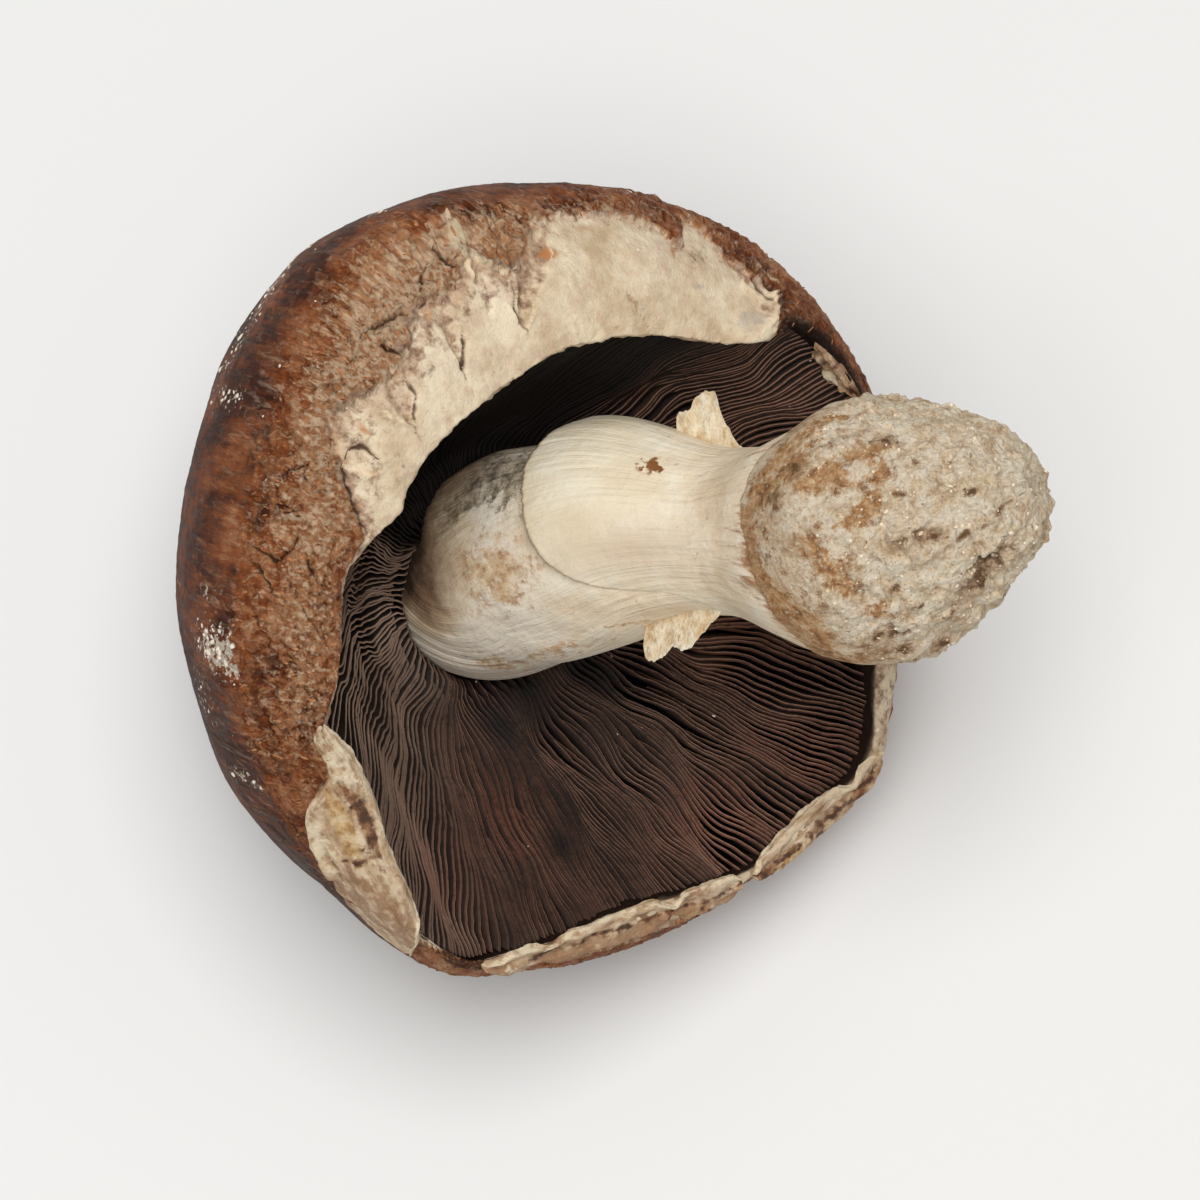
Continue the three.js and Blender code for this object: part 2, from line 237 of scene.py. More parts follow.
# Gouges in the flesh: top, tip, half width and depth in mm, and how brown they are.
gouges = [
    ((141.2, 1.46), (150.6, 1.84), 2.4, 1.3, 0.9), ((161.8, 1.56), (164.6, 1.85), 1.4, 0.9, 0.85),
    ((174.8, 1.62), (178.6, 1.85), 2.1, 1.3, 0.8), ((184, 1.54), (184.8, 1.72), 0.7, 0.4, 0.5),
    ((192, 1.5), (195.5, 1.4), 1.2, 1.6, 1), ((205.5, 1.3), (207, 1.45), 1.5, 0.9, 0.9),
    ((128, 1.8), (125.2, 1.9), 0.55, 0.4, 0.7), ((158.5, 1.5), (159.5, 1.62), 0.9, 0.4, 0.5),
    ((153, 1.6), (155.5, 1.72), 1.1, 0.35, 0.5), ((189.5, 1.74), (190.5, 1.6), 1.2, 0.5, 0.3),
    ((24, 1.7), (31, 1.92), 1.6, 0.6, 0.5), ((60, 1.75), (55, 1.93), 1.2, 0.5, 0.5),
]
# Cracks through the skin or into the flesh: places, half width and depth in mm.
cracks = [
    ([(189.6, 1.6), (188, 1.6), (186.6, 1.68), (187.2, 1.8)], 0.32, 1),
    ([(190, 1.56), (193.5, 1.66), (197, 1.79), (199.5, 1.95)], 0.36, 1),
    ([(174.5, 1.38), (169.5, 1.45), (166.5, 1.5)], 0.24, 0.8),
    ([(178.5, 1.4), (176, 1.43)], 0.22, 0.5), ([(165, 1.5), (162.5, 1.53)], 0.24, 0.5),
    ([(161, 1.7), (162.6, 1.78), (164.6, 1.85)], 0.17, 0.6), ([(156.2, 1.3), (155.9, 1.46)], 0.5, 1.2),
    ([(172.8, 1.5), (172, 1.6)], 0.35, 0.7), ([(173.4, 1.66), (174.6, 1.77), (178.2, 1.86)], 0.17, 0.5),
    ([(183, 1.28), (180, 1.44)], 0.22, 0.5), ([(158.5, 1.36), (163, 1.46)], 0.22, 0.5),
    ([(196, 1.24), (193, 1.4)], 0.25, 0.6), ([(206, 1.6), (209.5, 1.72)], 0.25, 0.5),
    ([(220, 1.45), (224.5, 1.62)], 0.22, 0.4), ([(216, 1.22), (221, 1.36)], 0.25, 0.5),
    ([(207, 1.16), (208.3, 1.38), (205.5, 1.5), (203, 1.48)], 0.35, 0.8),
    ([(209, 1.15), (211, 1.28), (213.5, 1.42)], 0.4, 0.8),
    ([(200.2, 1.32), (200.6, 1.48)], 0.3, 0.6), ([(214, 1.62), (219, 1.8), (217, 1.94)], 0.25, 0.4),
    ([(111, 1.26), (107.5, 1.4), (103.5, 1.52)], 0.3, 0.6), ([(102.5, 1.5), (96.5, 1.68)], 0.4, 0.8),
    ([(101.5, 1.58), (97, 1.76)], 0.35, 0.7), ([(149.5, 1.86), (151.2, 1.8), (149, 1.62)], 0.2, 0.5),
    ([(227, 1.1), (232.5, 1.3), (236.5, 1.62)], 0.22, 0.4),
    ([(33, 0.75), (35, 1.08), (33.5, 1.3)], 0.45, 1.1), ([(24, 1.02), (26.5, 1.24)], 0.3, 0.8),
    ([(332, 0.92), (335, 1.12)], 0.3, 0.7), ([(72, 1.22), (70, 1.5)], 0.25, 0.5),
    ([(318, 1.1), (315, 1.36)], 0.3, 0.6),
]
# Flaps and fragments that stand up: places, half width, height in mm and how pale they are.
flaps = [
    ([(152, 1.2), (153.4, 1.36), (154.8, 1.54)], 0.9, 1.3, 1.3),
    ([(153, 1.42), (151.5, 1.52)], 0.9, 0.7, 0.9),
    ([(173.5, 1.43), (167.5, 1.53)], 0.6, 0.5, 0.7), ([(180.5, 1.66), (179.2, 1.84)], 0.4, 0.45, 0.8),
    ([(151.6, 1.7), (150.8, 1.86), (147.8, 1.8)], 0.35, 0.4, 0.8),
    ([(195, 1.56), (196.5, 1.66)], 1.3, 0.6, 0.6), ([(201.2, 1.36), (200.8, 1.52)], 0.8, 0.7, 0.6),
    ([(203.2, 1.3), (205.2, 1.42)], 0.9, 0.6, 0.5), ([(97.8, 1.66), (97.4, 1.9)], 0.9, 0.9, 0.8),
    ([(104.2, 1.62), (101, 1.7), (98.5, 1.76)], 0.5, 0.6, 0.8), ([(207, 1.66), (210, 1.8)], 0.8, 0.4, 0.4),
    ([(190.8, 1.6), (189.8, 1.8)], 0.9, 0.6, 0.7), ([(186, 1.5), (183, 1.5)], 0.5, 0.4, 0.7),
    ([(210, 1.5), (212.5, 1.62)], 0.6, 0.4, 0.4), ([(157.5, 1.4), (160.5, 1.52)], 0.4, 0.4, 0.7),
    ([(118.5, 1.25), (114, 1.32)], 0.35, 0.4, 0.8), ([(101.8, 1.46), (96.5, 1.62)], 0.3, 0.5, 0.8),
]


def grain(places, seed):
    """Smooth random values, about -1 to 1, that change from one whole number to the next."""
    slopes = np.random.default_rng(seed).normal(size=(4096, 3))
    slopes /= np.linalg.norm(slopes, axis=1, keepdims=True)
    cell = np.floor(places).astype(np.int64)
    inside = places - cell
    share = inside**3 * (inside * (inside * 6 - 15) + 10)
    value = np.zeros(places.shape[:-1])
    for corner in itertools.product((0, 1), repeat=3):
        knot = (cell + corner) * (73856093, 19349663, 83492791)
        slope = slopes[(knot[..., 0] ^ knot[..., 1] ^ knot[..., 2]) % len(slopes)]
        weight = np.prod(np.where(corner, share, 1 - share), axis=-1)
        value += weight * np.sum(slope * (inside - corner), axis=-1)
    return value * 1.7


def layered(places, seed, layers=3):
    """Grain in layers, each half as coarse and half as strong as the one before."""
    return sum(grain(places * 2**layer, seed + layer) / 2**layer for layer in range(layers))


def wander(places, reach, seed):
    """Small steps aside and ahead, so that marks on an unrolled skin get uneven outlines."""
    return reach * placed(grain(places, seed), grain(places, seed + 1))


def near(place, width, value):
    """1 at a place, and 0 beyond a width on both sides of it."""
    return np.exp(-(((value - place) / width) ** 2))


def between(start, full, fading, end, value):
    """1 from full to fading, and 0 before start and after end."""
    return ease(start, full, value) * ease(end, fading, value)


def unit(directions):
    return directions / (np.linalg.norm(directions, axis=-1, keepdims=True) + 1e-9)


def outward(points):
    """The direction out of a surface given as rows of points that go round it."""
    around = np.roll(points, -1, 1) - np.roll(points, 1, 1)
    return unit(np.cross(around, np.gradient(points, axis=0)))


def lengthwise(points):
    """The direction from one row of points to the next, as the mushroom lies."""
    return unit(np.gradient(points, axis=0)) @ leaning.T


def packed(values, tips):
    """Rows of values as one list; with tips, the first and the last row are one point each."""
    if not tips:
        return values.reshape(-1, *values.shape[2:])
    middle = values[1:-1].reshape(-1, *values.shape[2:])
    return np.concatenate([values[:1].mean(axis=1), middle, values[-1:].mean(axis=1)])


def carry(mesh, marks, tips=False):
    """Gives the mesh its marks: a named number or direction at every point."""
    for mark, values in marks.items():
        kind, field = ("FLOAT", "value") if values.ndim == 2 else ("FLOAT_VECTOR", "vector")
        attribute = mesh.attributes.new(mark, kind, "POINT")
        attribute.data.foreach_set(field, packed(values, tips).astype(np.float32).ravel())


def make_body(name, points, marks, tips=True):
    """A closed smooth mesh from rows of points that go round, with a named mark at every point."""
    rows, around = points.shape[:2]
    number = np.arange(rows * around).reshape(rows, around)
    if tips:
        number = number - around + 1
        number[0] = 0
        number[-1] = (rows - 2) * around + 1
    below = number[:-1] if tips else number
    above = number[1:] if tips else np.roll(number, -1, axis=0)
    corners = [below, np.roll(below, -1, 1), np.roll(above, -1, 1), above]
    faces = [list(dict.fromkeys(face)) for face in np.stack(corners, -1).reshape(-1, 4).tolist()]
    places = packed(points, tips)
    mesh = bpy.data.meshes.new(name)
    mesh.from_pydata(lay_down(places), [], faces)
    mesh.shade_smooth()
    carry(mesh, marks, tips)
    inside = mesh.vertices[0].co.copy()
    volume = sum((face.center - inside).dot(face.normal) * face.area for face in mesh.polygons)
    if volume < 0:
        mesh.flip_normals()
    piece = bpy.data.objects.new(name, mesh)
    bpy.context.scene.collection.objects.link(piece)
    return piece


cap_columns = np.concatenate([np.arange(0, 92, 1.0), np.arange(92, 236, 0.27), np.arange(236, 360, 0.62)])
cap_rows = np.concatenate([
    np.linspace(0, 1, 26, endpoint=False), np.linspace(1, 1.2, 14, endpoint=False),
    np.linspace(1.2, 2, 66, endpoint=False), np.linspace(2, 3, 11, endpoint=False),
    np.linspace(3, 4, 5),
])
cap_azimuth, cap_stage = np.meshgrid(cap_columns, cap_rows)
cap_points = on_cap(cap_azimuth, cap_stage)
skin_length = dome_mm * np.minimum(cap_stage, 1) + stage_mm * np.clip(cap_stage - 1, 0, 3)
cap_growth = polar(cap_azimuth, np.minimum(np.hypot(*cap_points[..., :2].T).T, 50), skin_length)
cap_here = skin_place(cap_azimuth, cap_stage) + wander(cap_growth / 1.6, 0.35, 31)

# Which part of the cap a point is on, how near the torn edge of the skin, and how scaly it is.
on_top = 1 - ease(2.0, 2.25, cap_stage)
on_outside = 1 - ease(2.6, 3.0, cap_stage)
edge = through(skin_edge, cap_azimuth, 360)
ragged = 0.03 * layered(cap_growth / (1.5, 1.5, 2.5), 11) + 0.02 * grain(cap_growth / 5.0, 14)
edge += ragged * ease(0.0, 0.1, 2 - edge)
past_edge = cap_stage - edge
bare = ease(-0.012, 0.012, past_edge) * on_outside
torn_width = mix(0.9, 4.4, ease(0.0, 0.25, 2 - edge))
torn = np.clip(0.5 + stage_mm * past_edge / torn_width, 0, 1)
scaly = 0.45 + patches(cap_here, [
    (1, 163, 1.35, 17, 9), (0.6, 198, 1.5, 10, 10), (0.5, 108, 1.3, 14, 6), (0.4, 222, 1.5, 16, 14)])
scaly *= ease(0.72, 1.15, cap_stage) * on_top * (0.85 + 0.5 * grain(cap_points / 7.0, 21))
scaly = np.clip(scaly, 0, 1)
plates = grain(cap_growth / (2.3, 2.3, 3.2), 47) + 0.5 * grain(cap_growth / (0.9, 0.9, 1.3), 50)
plate = ease(-0.3, 0.4, plates)

# What is scooped out, cracked or stands up, and how it is bruised or pale. The cracks and the deep
# ends of the gouges are darkened with painted shade, and the rims of the gouges get a painted highlight.
gouge, bruise, pit_shade, pale_and_highlight, crack, flap = np.zeros((6, *cap_stage.shape))
for top, tip, half_width, depth, colour in gouges:
    top, tip = skin_place(*top), skin_place(*tip)
    share, along = scoop(cap_here, top, tip, half_width)
    gouge = np.maximum(gouge, depth * share**0.75 * (0.45 + 0.75 * np.clip(along, 0, 1)))
    bruise = np.maximum(bruise, colour * ease(0, 0.8, share) * (1.1 - 0.5 * np.clip(along, 0, 1)))
    # A painted highlight round the rim of each gouge.
    pale_and_highlight = np.maximum(pale_and_highlight, 0.9 * colour * between(0, 0.08, 0.12, 0.42, share))
    if depth > 0.8:
        pit_shade = np.maximum(pit_shade, 0.8 * dab(cap_here, mix(top, tip, 0.9), 0.45, 0.7))
for places, width, depth in cracks:
    line = trail(cap_here, places, max(width, 0.3))
    pit_shade = np.maximum(pit_shade, line * min(1, 0.35 + depth))
    crack = np.maximum(crack, line * depth)
for places, width, height, paleness in flaps:
    line = trail(cap_here, places, width)
    flap = np.maximum(flap, height * line)
    pale_and_highlight = np.maximum(pale_and_highlight, paleness * line)

torn_line = near(0.01, 0.014, past_edge) * (0.7 + 0.5 * grain(cap_growth / 1.5, 56))
pale_and_highlight = np.maximum(pale_and_highlight, torn_line * between(96, 104, 206, 214, cap_azimuth))
near_edge = ease(0.22, 0.0, past_edge) * between(125, 150, 196, 212, cap_azimuth)
bruise = np.maximum.reduce([
    bruise, near_edge * (0.95 + 0.5 * layered(cap_growth / 2.5, 51)), 0.4 * ease(0.12, 0.0, past_edge),
    0.6 * ease(65, 45, cap_azimuth) * (0.7 + 0.6 * grain(cap_growth / 3.0, 57)),
    1.1 * between(199, 204, 234, 238, cap_azimuth),
    patches(cap_here, [(0.45, 190, 1.62, 6, 8), (1.1, 97.8, 1.8, 1.2, 2.2), (0.5, 114, 1.56, 3, 3)],
            join=np.maximum),
])

# How far the skin and the flesh stand out, in mm.
lumps = 0.6 * grain(cap_points / 17.0, 41) + 0.3 * grain(cap_points / 8.0, 42)
fibres = grain(cap_growth / (0.7, 0.7, 3.0), 43)
splits = 1 - np.minimum(1, np.abs(grain(cap_growth / (1.3, 1.3, 3.2), 44)) * 3)
wrinkles = 1 - np.minimum(1, np.abs(grain(cap_growth / (3.5, 3.5, 6.0), 45)) * 4)
skin_relief = 0.4 + 0.05 * fibres + scaly * (0.3 * fibres - 0.4 * splits - 0.35 * wrinkles)
skin_relief += scaly * (0.25 * grain(cap_growth / 2.4, 49) + 0.4 * plate)
skin_relief += 0.3 * near(0, 0.03, past_edge) * ease(1.2, 1.4, cap_stage)
flesh_relief = 0.16 * layered(cap_growth / (3.0, 3.0, 5.0), 46) - gouge
cap_proud = lumps * on_outside + (1 - bare) * on_top * skin_relief + bare * flesh_relief
cap_proud += flap - crack + 0.9 * dab(cap_here, skin_place(99.5, 1.95), 3.4, 4.5)
cap_proud += 0.3 * layered(cap_growth / 2.2, 48) * ease(1.85, 2.05, cap_stage) * on_outside
cap_points = cap_points + outward(cap_points) * cap_proud[..., None]

# Patches of colour, as strength, azimuth, stage, half width and half length in mm.
bloom = patches(cap_here, [
    (1.3, 224, 0.97, 2.4, 2.6), (0.8, 227, 1.03, 1.1, 1), (0.6, 246, 0.95, 1.4, 2),
    (0.6, 188, 0.88, 1.2, 1.8), (0.55, 170, 0.8, 11, 1.2), (0.5, 197.5, 1.15, 0.8, 0.8),
    (0.4, 234, 0.86, 3, 2), (0.4, 216, 0.93, 1.2, 1.2), (0.5, 155.5, 0.92, 1.5, 1.2),
    (0.4, 118, 1.1, 6, 1.2)])
dark = patches(cap_here, [
    (0.9, 201.5, 1.18, 2.6, 2.3), (0.9, 201.5, 1.32, 1.6, 1.3), (0.7, 167, 0.93, 10, 2.5),
    (0.6, 191, 1.05, 1.5, 1.5), (0.6, 194, 1, 1.8, 1.2), (0.5, 207, 1.22, 2, 2),
    (0.55, 147, 1.22, 5, 2), (0.5, 262, 1, 12, 6), (0.6, 143, 1.33, 3.5, 1.5)])
dark += 0.7 * ease(0.95, 0.6, cap_stage)
dark += 0.9 * between(279, 285, 294, 298, cap_azimuth) * ease(1.5, 1.8, cap_stage)
dark += 0.9 * between(70, 76, 95, 98, cap_azimuth) * ease(1.75, 2.0, cap_stage)
tan = 0.3 * ease(1.0, 1.5, cap_stage) * on_top + patches(cap_here, [
    (0.8, 200, 1.62, 7, 7), (1.2, 169, 1.47, 11, 5), (0.8, 164, 1.26, 9, 5), (0.7, 187, 1.36, 6, 5),
    (0.5, 138, 1.28, 14, 4), (0.5, 203, 1.36, 2, 2), (0.6, 222, 1.7, 12, 9), (0.6, 152, 1.34, 6, 4)])
rust = patches(cap_here, [
    (1.3, 140.5, 1.54, 0.9, 1.4), (0.5, 132, 1.43, 2.2, 1.1), (0.8, 184.3, 1.63, 0.5, 1.9),
    (0.4, 158.5, 1.56, 1.6, 1.6), (0.4, 190, 1.75, 0.8, 3), (0.5, 97.5, 1.76, 0.8, 3)])
rust = np.maximum(rust, 0.8 * trail(cap_here, [(115, 1.4), (117.2, 1.5), (117.6, 1.6)], 0.5))
grey = patches(cap_here, [
    (0.8, 119, 1.51, 2, 1.4), (0.5, 114.5, 1.63, 1.6, 1.6), (1.2, 113, 1.73, 0.8, 0.8),
    (1, 101, 1.84, 2.6, 2.6), (0.9, 125, 1.88, 0.7, 0.5), (0.3, 176, 1.72, 2, 3)])

# Painted shade under the lip, how worn the skin is, and where the powdery bloom lies.
far_side = np.maximum(ease(120, 60, cap_azimuth), ease(228, 240, cap_azimuth))
under = mix(ease(2.15, 2.7, cap_stage), ease(1.98, 2.12, cap_stage), far_side)
under = np.maximum(under, between(66, 74, 94, 98, cap_azimuth) * ease(1.86, 2.0, cap_stage))
worn = 0.03 * ease(1.1, 1.6, cap_stage) - 0.06 * ease(1.15, 0.85, cap_stage)
worn += 0.035 * grain(cap_points / 5.0, 55) - 0.04 * between(216, 232, 272, 292, cap_azimuth)
worn += patches(cap_here, [(0.05, 168, 1.36, 14, 8)])
powder = np.clip(1.6 * bloom - 0.35, 0, 1) + 0.0016 * on_top
powder += 0.3 * np.clip(patches(cap_here, [(3, 172, 0.77, 13, 1.4)]) - 1, 0, 1)
cap = make_body("cap_skin_and_flesh", cap_points, {
    "growth": cap_growth / 1000, "bare": torn * on_outside, "scaly": scaly, "bruise": bruise,
    "plate": plate, "pit_shade": pit_shade, "pale_and_highlight": pale_and_highlight, "bloom": bloom, "dark": dark, "tan": tan,
    "rust": rust, "grey": grey, "under": under, "powder": powder, "worn": worn,
    "loose": np.clip(1.5 * scaly - 0.4, 0, 1) * ease(0.03, -0.03, past_edge),
    "along": lengthwise(cap_points),
})

# The pressed flat: the shoulder ends level with the ground.
for vertex in cap.data.vertices:
    vertex.co.z = max(vertex.co.z, 0)

skin_dark = (0.06, 0.014, 0.005)
skin_brown = (0.18, 0.046, 0.013)
skin_orange = (0.34, 0.1, 0.03)
skin_tan = (0.54, 0.27, 0.13)
skin_straw = (0.82, 0.6, 0.4)
flesh_deep = (0.56, 0.42, 0.26)
flesh_cream = (0.74, 0.6, 0.42)
flesh_pale = (0.86, 0.74, 0.54)
bruise_tan = (0.56, 0.4, 0.29)
bruise_pink = (0.62, 0.42, 0.3)
pit_shade_brown = (0.06, 0.022, 0.012)
rust_orange = (0.5, 0.2, 0.06)
chill_grey = (0.5, 0.43, 0.34)
bloom_white = (0.78, 0.68, 0.55)


def feed(tree, socket, value):
    """Links a node's output to the socket, or sets the socket to a value."""
    if isinstance(value, bpy.types.NodeSocket):
        tree.links.new(value, socket)
    else:
        socket.default_value = value


def add(tree, kind, inputs=None, **settings):
    """One node with these settings, fed with these inputs."""
    node = tree.nodes.new(kind)
    for setting, value in settings.items():
        setattr(node, setting, value)
    for key, value in (inputs or {}).items():
        feed(tree, node.inputs[key], value)
    return node


def read(tree, mark):
    """The number or the place that a piece carries under that name."""
    node = add(tree, "ShaderNodeAttribute", attribute_name=mark)
    return node.outputs["Vector"] if mark == "growth" else node.outputs["Fac"]


def mottle(tree, where, scale, detail=3, stretch=(1, 1, 1), roughness=0.55, distortion=0):
    """Smooth random tone from 0 to 1."""
    mapping = add(tree, "ShaderNodeMapping", {"Vector": where, "Scale": stretch})
    inputs = {"Vector": mapping.outputs[0], "Scale": scale, "Detail": detail}
    inputs |= {"Roughness": roughness, "Distortion": distortion}
    return add(tree, "ShaderNodeTexNoise", inputs).outputs[0]


def sift(tree, value, low, high, start=0.0, end=1.0):
    """value from low to high becomes start to end, smoothly, and stays there beyond."""
    inputs = {"Value": value, "From Min": low, "From Max": high, "To Min": start, "To Max": end}
    return add(tree, "ShaderNodeMapRange", inputs, interpolation_type="SMOOTHSTEP").outputs[0]


def reckon(tree, operation, first, second=0.0):
    return add(tree, "ShaderNodeMath", {0: first, 1: second}, operation=operation).outputs[0]


def times(tree, first, second):
    return reckon(tree, "MULTIPLY", first, second)


def plus(tree, first, second):
    return reckon(tree, "ADD", first, second)


def tint(tree, share, under, over):
    """The colour under, with as much of the colour over as share says."""
    def colour(value):
        return value if isinstance(value, bpy.types.NodeSocket) else (*value, 1)
    inputs = {0: share, 6: colour(under), 7: colour(over)}
    return add(tree, "ShaderNodeMix", inputs, data_type="RGBA").outputs[2]


def tones(tree, value, *stops):
    """A colour picked by value along (place, colour) stops."""
    ramp = add(tree, "ShaderNodeValToRGB", {0: value})
    ramp.color_ramp.elements.remove(ramp.color_ramp.elements[1])
    ramp.color_ramp.elements[0].position = stops[0][0]
    ramp.color_ramp.elements[0].color = (*stops[0][1], 1)
    for place, colour in stops[1:]:
        ramp.color_ramp.elements.new(place).color = (*colour, 1)
    return ramp.outputs[0]


def spread(tree, mark, tone, amount, low, high, most=1.0):
    """How far a marked patch reaches, with an edge broken up by random tone."""
    broken = sift(tree, tone, 0.3, 0.7, -amount, amount)
    reach = sift(tree, plus(tree, read(tree, mark), broken), low, high, 0.0, most)
    return times(tree, reach, sift(tree, read(tree, mark), 0.0, 0.12))


def marked(tree, colour, *layers):
    """The colour under marked patches: mark, tone that breaks up the edge and by how much, where
    the patch starts and where it is full, how much it covers there, and its colour."""
    for mark, tone, amount, low, high, most, over in layers:
        colour = tint(tree, spread(tree, mark, tone, amount, low, high, most), colour, over)
    return colour


def toned(tree, colour, *layers, within=None):
    """The colour under others that follow a tone: tone, where it starts and where it is full, how
    much it covers there, and its colour; all of it within a share."""
    for tone, low, high, most, over in layers:
        share = sift(tree, tone, low, high, 0, most)
        if within:
            share = times(tree, share, within)
        colour = tint(tree, share, colour, over)
    return colour


def washed(tree, colour, *layers):
    """The colour under thin washes: a mark, how much it covers where the mark is 1, and its colour."""
    for mark, most, over in layers:
        colour = tint(tree, times(tree, read(tree, mark), most), colour, over)
    return colour


def new_finish(name, flesh_glow=0.0, shine=0.5):
    """A natural finish, its tree and where each point of the piece is; flesh_glow is how much
    light soaks into the flesh."""
    finish = bpy.data.materials.new(name)
    finish.use_nodes = True
    tree = finish.node_tree
    for label, value in {
        "Specular IOR Level": shine, "Subsurface Weight": flesh_glow,
        "Subsurface Radius": (1.0, 0.6, 0.35), "Subsurface Scale": 0.0015,
    }.items():
        tree.nodes["Principled BSDF"].inputs[label].default_value = value
    return finish, tree, add(tree, "ShaderNodeTexCoord").outputs["Object"]


def dress(tree, colour, roughness, heights):
    """Joins the colour, roughness and (height, metres) bumps to the shader, coarse bumps first."""
    shader = tree.nodes["Principled BSDF"]
    feed(tree, shader.inputs["Base Color"], colour)
    feed(tree, shader.inputs["Roughness"], roughness)
    normal = {}
    for height, metres in heights:
        inputs = {"Height": height, "Distance": metres, "Strength": 1.0} | normal
        normal = {"Normal": add(tree, "ShaderNodeBump", inputs).outputs[0]}
    for label, bump in normal.items():
        feed(tree, shader.inputs[label], bump)


def keep(piece, finish, slot, *nodes):
    """The finished piece stands for its CAD nodes and takes its place in the mushroom."""
    piece.data.materials.append(finish)
    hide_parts(*nodes)
    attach(piece, "root")


cap_finish, tree, here = new_finish("cap_skin_finish", flesh_glow=0.08, shine=0.1)
growth = read(tree, "growth")
fibre = mottle(tree, growth, 1000, detail=6, stretch=(1, 1, 0.2), roughness=0.7)
blotch = mottle(tree, here, 100, detail=7, roughness=0.68)
fine_mottle = mottle(tree, here, 420, detail=5, roughness=0.65)
scale_marks = mottle(tree, growth, 1000, detail=8, stretch=(1, 1, 0.26), roughness=0.75, distortion=0.5)
scaly_share = read(tree, "scaly")
tone = plus(tree, times(tree, fibre, 0.4), times(tree, blotch, 0.6))
tone = plus(tree, tone, read(tree, "worn"))
skin = tones(tree, tone, (0.39, skin_dark), (0.46, skin_brown), (0.53, skin_orange), (0.63, skin_tan))
skin = marked(
    tree, skin, ("tan", fibre, 0.7, 0.3, 1.3, 0.8, skin_tan),
    ("dark", fine_mottle, 0.35, 0.25, 0.8, 0.85, (0.045, 0.014, 0.007)))

# Each scale is tan on top, with a painted highlight along its lifted edge and painted shade in the
# crease beside it. Straw and dark flecks follow the marks that raise and sink the skin: partly its
# own colour, partly painted highlight and shade.
scale_noise = mottle(tree, growth, 700, detail=4, stretch=(1, 1, 0.35), roughness=0.6, distortion=0.4)
plate_tone = plus(tree, read(tree, "plate"), sift(tree, scale_noise, 0.35, 0.65, -0.35, 0.35))
from_edge = reckon(tree, "ABSOLUTE", reckon(tree, "SUBTRACT", plate_tone, 0.62))
from_crease = reckon(tree, "ABSOLUTE", reckon(tree, "SUBTRACT", plate_tone, 0.34))
skin = toned(
    tree, skin, (plate_tone, 0.4, 1.1, 0.35, skin_tan), (from_edge, 0.12, 0.0, 0.4, skin_straw),
    (from_crease, 0.1, 0.0, 0.3, skin_dark), (scale_marks, 0.535, 0.64, 0.9, skin_straw),
    (scale_marks, 0.42, 0.34, 0.45, skin_dark), within=scaly_share)
strokes = mottle(tree, growth, 1600, detail=4, stretch=(1, 1, 0.13), distortion=0.1)
frayed = mottle(tree, growth, 520, detail=5, stretch=(1, 1, 0.35), roughness=0.6)
powdery = mottle(tree, here, 1300, detail=3, roughness=0.6)
skin = marked(
    tree, skin, ("tan", strokes, 0.9, 0.85, 1.7, 0.75, skin_straw),
    ("bare", frayed, 0.4, 0.1, 0.6, 0.8, (0.58, 0.35, 0.2)),
    ("bloom", powdery, 0.8, 0.72, 1.1, 0.9, bloom_white))

flesh_tone = mottle(tree, here, 150, detail=6, roughness=0.65)
flesh = tones(tree, flesh_tone, (0.34, flesh_deep), (0.49, flesh_cream), (0.62, flesh_pale))
flecks = mottle(tree, growth, 1200, detail=4, stretch=(1, 1, 0.5))
flesh = toned(tree, flesh, (flecks, 0.6, 0.72, 0.35, bruise_tan))
streaky = mottle(tree, growth, 700, detail=6, stretch=(1, 1, 0.2), roughness=0.7)
bruised = tones(
    tree, streaky, (0.38, (0.66, 0.48, 0.34)), (0.51, (0.46, 0.3, 0.2)), (0.65, (0.2, 0.11, 0.065)))
flesh = marked(
    tree, flesh, ("bare", fine_mottle, 0.35, 1.05, 0.5, 0.6, bruise_pink),
    ("bruise", streaky, 0.5, 0.1, 1.0, 0.92, bruised),
    ("rust", fine_mottle, 0.25, 0.2, 1.0, 0.85, rust_orange),
    ("grey", fine_mottle, 0.35, 0.25, 1.0, 0.75, chill_grey))

bare_share = spread(tree, "bare", frayed, 0.45, 0.34, 0.66)
colour = marked(
    tree, tint(tree, bare_share, skin, flesh), ("pale_and_highlight", fibre, 0.25, 0.35, 1.0, 0.9, (0.87, 0.69, 0.47)),
    ("pit_shade", fine_mottle, 0.15, 0.3, 0.95, 0.92, pit_shade_brown))
# Painted shade under the lip.
colour = tint(tree, read(tree, "under"), colour, (0.018, 0.009, 0.006))
roughness = sift(tree, fibre, 0.3, 0.7, 0.4, 0.6)
rough_flesh = add(tree, "ShaderNodeMix", {0: bare_share, 2: roughness, 3: 0.7}).outputs[0]
fine = mottle(tree, growth, 2600, detail=4, stretch=(1, 1, 0.25))
on_skin = sift(tree, read(tree, "bare"), 0.75, 0.1)
scale_step = times(tree, sift(tree, plate_tone, 0.1, 0.7), scaly_share)
scale_step = times(tree, scale_step, on_skin)
marks_on_skin = times(tree, scale_marks, sift(tree, read(tree, "bare"), 0.9, 0.1, 0.25, 1.0))
dress(tree, colour, rough_flesh, [
    (scale_step, 0.0004), (marks_on_skin, 0.0008), (times(tree, fibre, on_skin), 0.0006),
    (fine, 0.00015)])
keep(cap, cap_finish, "cap_skin", "cap")


def new_growth(name, sizes):
    """An empty geometry tree with named inputs for its sizes."""
    tree = bpy.data.node_groups.new(name, "GeometryNodeTree")
    tree.interface.new_socket("Geometry", in_out="INPUT", socket_type="NodeSocketGeometry")
    tree.interface.new_socket("Geometry", in_out="OUTPUT", socket_type="NodeSocketGeometry")
    for label, value in sizes.items():
        kind = "NodeSocketInt" if isinstance(value, int) else "NodeSocketFloat"
        tree.interface.new_socket(label, in_out="INPUT", socket_type=kind).default_value = value
    return tree, tree.nodes.new("NodeGroupInput").outputs


